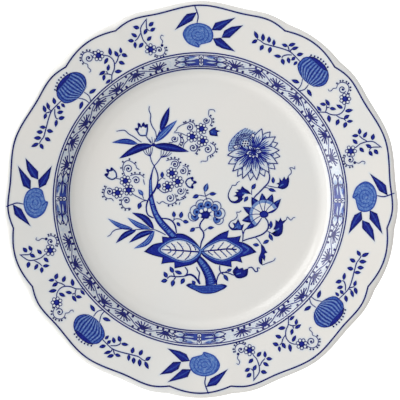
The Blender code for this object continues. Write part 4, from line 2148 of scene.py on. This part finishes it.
            marks.append(
                Stroke([heart, (bow[0] - 0.3, bow[1] + 0.3), valley], 0.5, tone=0.93, layer=Layer.DETAIL)
            )
        for tip in tips:
            marks.append(
                Stroke(
                    [between(heart, tip, 0.7), between(heart, tip, 0.92)], 0.9, (0.8, 0.3), 0.74, Layer.LINE
                )
            )
        marks += [Disc(heart, 2.9, 0.98, 0.8, 0.8, Layer.TOP)]
        return marks

    def cup_flower(self) -> list[Mark]:
        """The open cup flower over the two saw-edged leaves, on its own stem."""
        heart = (3.4, -9.6)
        marks: list[Mark] = []
        for centre, radius, eye in (
            ((-4.1, -10.1), 3.4, (-3.4, -10.6)), ((11.6, -12.6), 3.0, (10.5, -12.4)),
            ((-3.0, -7.0), 3.4, (-2.1, -7.8)), ((12.2, -8.7), 3.5, (11.3, -8.6)),
            ((0.4, -3.2), 3.1, (0.6, -4.2)), ((10.0, -4.2), 3.1, (9.1, -5.1)),
            ((4.9, -2.4), 3.2, (4.9, -3.3))
        ):
            marks += [
                Disc(centre, radius, 0.2, 0.14, layer=Layer.FILL),
                Ring(centre, radius, 0.5, layer=Layer.FILL), Disc(eye, 2.5, 0.92, 0.92, layer=Layer.FILL),
                Disc(eye, 2.1, 0.5, 0.56, layer=Layer.FILL), Disc(eye, 0.85, layer=Layer.FILL)
            ]
        marks.append(Disc((3.3, -8.9), 4.3, 0.9, 0.9, 0.75, Layer.LINE))
        for place in ((0.7, -7.1), (3.3, -6.1), (5.9, -6.7), (7.4, -9.1), (6.6, -11.4), (-0.3, -10.0)):
            marks.append(Disc(place, 1.15, 0.25, 0.05, layer=Layer.OVER))
        marks.append(Disc(heart, 2.7, 1.0, 0.85, 0.75, Layer.DETAIL))
        marks.append(
            Stroke([
                (3.0, -11.2), (0.3, -14.6), (-0.2, -17.2), (2.0, -20.6), (2.2, -23.2), (0.7, -27.0),
                (0.1, -30.4)
            ], 0.95)
        )
        marks += stems(
            0.55, [(2.4, -19.8), (4.5, -18.0)], [(-3.3, -17.8), (-0.5, -17.5)],
            [(3.7, 1.4), (3.0, 3.6), (2.8, 5.3)], [(3.7, 1.4), (4.4, -0.6)], [(5.6, 3.6), (3.4, 2.2)],
            [(-0.8, 2.9), (3.0, 2.2)], [(-16.5, -13.0), (-16.5, -11.3)],
            [(-17.4, -13.8), (-16.1, -12.3), (-12.7, -12.3), (-11.0, -13.6)]
        )
        marks += foliage([
            ((4.5, -18.0), (8.8, -17.4), 2.1), ((-3.3, -17.8), (-6.5, -20.2), 2.6),
            ((-16.5, -11.2), (-16.7, -7.2), 2.5), ((-12.5, -11.7), (-11.5, -7.4), 2.7),
            ((-11.0, -13.6), (-7.1, -14.2), 2.5), ((-14.8, -14.2), (-12.6, -16.8), 2.2),
            ((5.6, 3.6), (10.3, 3.8), 2.4), ((-0.8, 2.9), (-4.9, 1.2), 2.7)
        ], SOFT)
        return marks + foliage([((2.8, 4.9), (4.6, 10.4), 3.2)], LeafLook(1.0, 0.5))

    def fan(self) -> list[Mark]:
        """The fan of long leaves on the left."""
        marks = big_leaf([(-29.3, -18.5), (-35.0, -11.8), (-43.0, -8.2)], 4.2)
        marks += big_leaf([(-31.5, -18.3), (-38.4, -16.2), (-45.9, -11.4)], 3.4, STEEL)
        marks += big_leaf([(-29.3, -19.8), (-37.0, -22.0), (-44.9, -27.1)], 3.7)
        marks += big_leaf([(-28.9, -19.5), (-33.6, -26.8), (-41.7, -30.8)], 3.5, STEEL)
        marks += big_leaf([(-42.5, -18.6), (-50.6, -16.4), (-58.3, -11.9)], 3.1, STEEL)
        marks += big_leaf([(-40.4, -19.1), (-47.0, -22.0), (-53.2, -27.4)], 3.5)
        return marks + stems(
            0.6,
            [(-42.7, -18.5), (-48.9, -18.3), (-53.2, -18.9), (-55.3, -20.2), (-56.8, -22.3), (-58.5, -23.2)],
            [(-29.0, -18.8), (-35.0, -18.6), (-41.3, -18.9)],
            [(-29.0, -18.8), (-25.0, -20.5), (-21.6, -22.3)]
        )

    def saw_leaf(
        self, edge: Sequence[Sequence[Point]], lens: Sequence[Point], heart: Point, midrib: Sequence[Point],
        veins: Sequence[tuple[Point, Point]]
    ) -> list[Mark]:
        """A broad leaf with a saw edge round a pale, veined middle.

        Args:
            edge: its outline, with a corner at each tooth.
            lens: the outline of its pale middle.
            heart: a place inside.
            midrib: the midrib's places.
            veins: each vein's two ends.

        Returns:
            Its marks.
        """
        closed = [*lens, lens[0]]
        wider = [between(heart, place, 1.12) for place in closed]
        marks: list[Mark] = [
            Blob(edge, heart, 1.0, 0.8, border=0.9), Blob([wider], heart, 0.5, 0.44, Layer.LINE)
        ]
        marks.append(Blob([closed], heart, 0.26, 0.03, Layer.OVER, 0.82))
        marks.append(Stroke(closed, 0.5, (1.0, 1.0), 0.92, Layer.OVER))
        marks.append(Stroke(midrib, 1.0, (0.5, 1.0), 0.97, Layer.DETAIL))
        for start, end in veins:
            bow = between(start, end, 0.5)
            bow = (bow[0] + 0.4, bow[1] + (0.3 if end[1] > start[1] else -0.3))
            marks.append(Stroke([start, bow, end], 0.75, (1.0, 0.7), 1.0, Layer.DETAIL))
            for k in (0.3, 0.6):
                side = between(start, end, k)
                marks.append(
                    Stroke(
                        [side, (side[0] + 1.4, side[1] + (end[1] - start[1]) * 0.22)], 0.35, (1.0, 0.4),
                        0.45, Layer.DETAIL
                    )
                )
        return marks

    def saw_leaves(self) -> list[Mark]:
        """The two saw-edged leaves that meet over the lower trunk."""
        left = self.saw_leaf(
            [[(-35.5, -32.8), (-30.0, -28.3), (-23.9, -26.8)], [(-24.1, -23.2)],
             [(-20.0, -23.6), (-15.0, -23.4)], [(-14.8, -21.1)],
             [(-10.4, -21.6), (-5.6, -24.2), (-2.0, -27.6), (0.7, -31.2)],
             [(0.5, -35.0), (-1.6, -38.6), (-5.4, -41.0), (-9.6, -42.0), (-16.2, -43.4)], [(-16.4, -39.6)],
             [(-19.8, -39.8), (-24.6, -40.6)], [(-23.8, -36.6)], [(-30.0, -35.0), (-35.5, -32.8)]],
            [(-25.2, -31.8), (-20.4, -27.3), (-14.6, -25.2), (-7.8, -26.6), (-0.6, -32.2), (-4.9, -37.2),
             (-11.7, -38.6), (-19.4, -35.6)],
            (-13.0, -32.0), [(-24.2, -31.5), (-15.2, -31.9), (-5.8, -32.6), (-1.0, -32.9)],
            [((-15.4, -31.7), (-18.4, -27.4)), ((-10.5, -32.1), (-14.6, -26.6)),
             ((-5.8, -32.1), (-8.8, -27.0)), ((-2.8, -32.0), (-5.0, -28.6)),
             ((-15.2, -32.1), (-17.8, -35.3)), ((-10.5, -32.8), (-14.8, -37.0)),
             ((-5.8, -33.0), (-9.7, -37.9)), ((-18.6, -31.6), (-21.4, -29.0)),
             ((-18.4, -32.0), (-20.6, -33.8))]
        )
        right = self.saw_leaf(
            [[(35.6, -33.1), (31.8, -29.4), (27.4, -27.0), (24.6, -26.4)], [(25.8, -22.6)],
             [(22.4, -23.4), (17.2, -23.8)], [(18.1, -19.2)],
             [(12.6, -21.4), (7.0, -25.2), (3.4, -28.2), (0.6, -31.2)],
             [(0.6, -34.0), (4.0, -37.4), (8.6, -40.2), (13.6, -41.4), (19.9, -42.6)], [(19.6, -39.0)],
             [(22.6, -38.8), (26.6, -39.8)], [(25.6, -36.4)], [(31.0, -34.8), (35.6, -33.1)]],
            [(2.0, -32.2), (8.4, -27.6), (14.8, -25.6), (20.7, -28.2), (25.4, -31.8), (20.2, -35.8),
             (14.3, -38.0), (7.6, -36.4)],
            (14.2, -31.8), [(0.3, -32.8), (6.2, -32.1), (10.9, -31.7), (16.5, -31.1), (23.0, -31.4)],
            [((6.2, -32.1), (8.8, -28.4)), ((10.9, -31.5), (14.8, -26.8)), ((16.5, -30.9), (19.3, -28.2)),
             ((19.9, -30.9), (22.2, -29.4)), ((5.0, -32.8), (8.0, -35.0)), ((8.6, -32.6), (13.1, -37.0)),
             ((12.6, -31.9), (16.9, -36.2)), ((16.4, -31.7), (19.9, -35.1)), ((20.3, -31.3), (22.9, -33.6))]
        )
        chevrons = [Stroke([(26.4, -28.6), (30.4, -31.4), (27.0, -34.2)], 1.0, tone=0.62, layer=Layer.LINE)]
        return left + right + chevrons

    def lower_right(self) -> list[Mark]:
        """The branch under the peony, with two dark tulips and a curved bud."""
        marks: list[Mark] = [
            Stroke([
                (26.7, -26.0), (30.1, -24.8), (34.2, -23.7), (40.0, -21.3), (42.7, -18.2), (42.7, -14.1),
                (41.0, -11.4)
            ], 0.95)
        ]
        marks += dark_tulip(
            [[(20.0, -18.7), (22.4, -19.2), (26.5, -19.2)], [(27.7, -15.4)], [(25.8, -16.0)],
             [(23.9, -12.0)], [(22.4, -14.9)], [(20.3, -14.5)], [(21.4, -16.8), (20.0, -18.7)]],
            (23.9, -16.9), LeafLook(0.98, 0.6)
        )
        marks.append(
            Trunk(
                [(23.6, -18.6), (19.9, -18.4), (18.1, -16.0), (19.3, -13.8), (22.2, -12.2), (23.3, -10.4),
                 (23.0, -7.8)],
                (1.3, 1.5, 0.8, 0.6, 0.5, 0.5, 0.5), (), LeafLook(0.97, 0.92)
            )
        )
        marks += stems(
            0.75, [(26.4, -19.0), (27.0, -22.3), (26.7, -26.6)],
            [(29.4, -18.0), (27.9, -19.4), (27.0, -22.3)]
        )
        marks += stems(
            0.55, [(23.0, -7.8), (24.8, -7.8), (25.8, -6.9)],
            [(54.4, -12.7), (54.9, -10.9), (57.2, -12.9), (58.7, -11.4), (59.9, -11.2)],
            [(42.2, -19.6), (43.8, -20.6), (46.2, -21.8)], [(34.9, -23.9), (36.5, -25.3), (38.3, -27.9)],
            [(39.1, -41.3), (42.0, -40.1), (45.8, -38.7), (46.8, -38.0), (47.3, -36.8)],
            [(42.8, -18.0), (44.6, -18.1)], [(43.4, -20.6), (43.7, -21.8)]
        )
        marks += dark_tulip([
            [(44.8, -21.3), (47.0, -23.1), (49.4, -23.1), (51.6, -21.3), (52.3, -17.6), (52.2, -15.4)],
            [(54.9, -12.2)], [(51.8, -13.5)], [(50.6, -11.3)], [(49.4, -13.8)], [(47.5, -12.7)],
            [(47.3, -16.0)], [(46.0, -18.7)], [(48.0, -19.2)], [(47.4, -21.0), (44.8, -21.3)]
        ], (49.9, -18.0))
        marks.append(
            Blob([
                [(38.2, -27.6), (40.4, -29.8), (41.2, -31.8)], [(42.4, -33.4)],
                [(40.7, -33.9), (41.2, -36.0)], [(40.6, -38.7)], [(39.2, -37.0)],
                [(38.4, -38.8), (39.3, -41.5)], [(37.3, -39.9), (36.8, -36.9), (38.3, -32.6), (38.2, -27.6)]
            ], (39.2, -34.6), 0.97, 0.86)
        )
        return marks + foliage([
            ((44.6, -18.1), (44.6, -13.2), 2.3), ((43.4, -21.5), (45.7, -25.9), 2.5),
            ((37.2, -28.7), (33.1, -28.3), 2.3), ((43.4, -25.5), (39.5, -27.7), 2.4)
        ], SOFT)

    def ground(self) -> list[Mark]:
        """The lower trunk, the mound it grows from and the sprigs beside it."""
        marks: list[Mark] = [
            Trunk(
                [(-1.8, -36.2), (1.4, -40.2), (3.9, -44.0), (6.0, -48.6), (7.2, -53.8)],
                (4.0, 5.4, 6.0, 6.6, 7.6), (0.24, 0.34, 0.44, 0.53, 0.61, 0.69, 0.77, 0.85, 0.93),
                LeafLook(0.95, 0.53)
            )
        ]
        mound = [
            (-8.9, -54.0), (-7.0, -52.8), (-4.6, -53.0), (-2.8, -54.0), (3.3, -54.0), (10.9, -53.4),
            (14.4, -53.2), (16.9, -54.4), (15.6, -56.0), (13.1, -57.2), (9.6, -58.7), (5.0, -59.4),
            (0.5, -59.0), (-3.3, -57.3), (-6.6, -55.7), (-8.9, -54.0)
        ]
        marks.append(Blob([mound], (4.0, -56.0), 0.95, 0.62, border=0.8))
        for y, start, end in (
            (-54.6, -5.0, 15.0), (-55.8, -3.4, 13.0), (-56.9, -1.0, 10.6), (-58.0, 1.4, 8.0)
        ):
            marks.append(Stroke([(start, y), ((start + end) / 2, y - 0.5), (end, y)], 0.4, tone=0.84))
        marks += stems(
            0.85, [(-2.2, -42.4), (-1.8, -44.1), (-0.5, -45.9), (-0.8, -48.2), (-0.9, -50.2), (0.0, -53.3)],
            [(12.4, -41.3), (12.2, -43.6), (12.9, -45.9)],
            [(10.3, -53.5), (10.5, -50.7), (11.4, -47.9), (12.9, -46.2), (15.7, -45.9), (17.7, -46.2),
             (21.2, -47.7)],
            [(-10.1, -48.3), (-14.8, -48.6), (-19.1, -48.3), (-20.8, -49.8)],
            [(-15.5, -49.0), (-16.7, -50.5)], [(-16.9, -46.2), (-16.2, -48.4)],
            [(-9.7, -42.4), (-8.0, -44.9), (-8.6, -47.1), (-10.1, -48.3)],
            [(30.1, -43.2), (32.3, -42.6), (33.5, -43.6), (35.0, -45.4), (36.3, -44.9), (35.9, -43.0),
             (37.6, -43.2)],
            [(14.8, -47.2), (13.4, -46.4)], [(16.7, -45.2), (15.6, -45.9)]
        )
        marks.append(
            Stroke([(-10.1, -48.2), (-6.4, -47.2), (-3.8, -48.4), (-1.8, -50.7), (-0.3, -53.3)], 1.3)
        )
        marks += dark_tulip([
            [(21.2, -47.7), (20.5, -45.1), (23.1, -41.7)], [(24.4, -43.6)], [(26.9, -42.8)], [(27.4, -44.2)],
            [(30.3, -43.2)], [(30.2, -45.6), (29.5, -47.9), (26.7, -49.4), (23.3, -49.5), (21.2, -47.7)]
        ], (25.6, -46.2))
        return marks + foliage([
            ((-3.1, -53.5), (-5.2, -51.0), 2.5), ((16.7, -45.2), (20.0, -43.7), 2.1),
            ((14.8, -47.2), (17.7, -51.4), 2.4), ((-16.9, -46.2), (-19.1, -42.2), 2.7),
            ((-11.4, -46.8), (-16.2, -44.9), 2.4), ((-20.8, -49.2), (-22.9, -45.4), 2.7),
            ((-20.6, -50.7), (-24.8, -51.6), 2.7), ((-16.7, -50.5), (-17.9, -54.9), 2.8),
            ((-10.0, -49.5), (-12.2, -53.3), 2.7)
        ], SOFT)

    def groups(self) -> dict[str, list[Mark]]:
        """The bouquet's pieces by name."""
        return {
            "bouquet_trunk": self.trunk(),
            "bouquet_crown": self.crown(),
            "bouquet_left_cluster": self.left_cluster(),
            "bouquet_middle_cluster": self.middle_cluster(),
            "bouquet_top_cluster": self.top_cluster(),
            "bouquet_fan": self.fan(),
            "bouquet_ground": self.ground(),
            "bouquet_saw_leaves": self.saw_leaves(),
            "bouquet_cup_flower": self.cup_flower(),
            "bouquet_lower_right": self.lower_right(),
            "bouquet_right_tulips": self.right_side(),
            "bouquet_peony": self.peony(),
            "bouquet_chrysanthemum": self.chrysanthemum(),
        }


def paint(coat: bpy.types.Object, cobalt: bpy.types.Material) -> None:
    """Paints the whole plate.

    Args:
        coat: the glaze that the painting lies on.
        cobalt: the painting's finish.
    """
    painter = Painter(cobalt)
    band, quarter = Band(), RimQuarter()
    painter.lay("band_rules", band.circles())
    for name, turn, extra in (
        ("north_east", 0, 0.0), ("south_east", 90, -0.3), ("south_west", 180, -0.8),
        ("north_west", 270, -0.4)
    ):
        painter.lay(f"rim_flowers_{name}", quarter.marks(), turn + extra)
        painter.lay(f"band_pattern_{name}", band.marks(), turn)
    painter.lay("edge_line", [Hoop(WARE.lip_start - 0.1, 0.95, follows=True, tone=1.0)])
    for name, marks in Bouquet().groups().items():
        painter.lay(name, marks)
    painter.bleed(coat)


def main() -> None:
    """Builds the plate and its painting."""
    logging.basicConfig(level=logging.INFO, format="%(name)s %(message)s")
    surface = GlazeSurface()
    coat = PlateBody().build(GlazeFinish(surface).build(), BisqueFinish().build())
    paint(coat, CobaltFinish(surface).build())
    Studio().build()


if __name__ == "__main__":
    main()
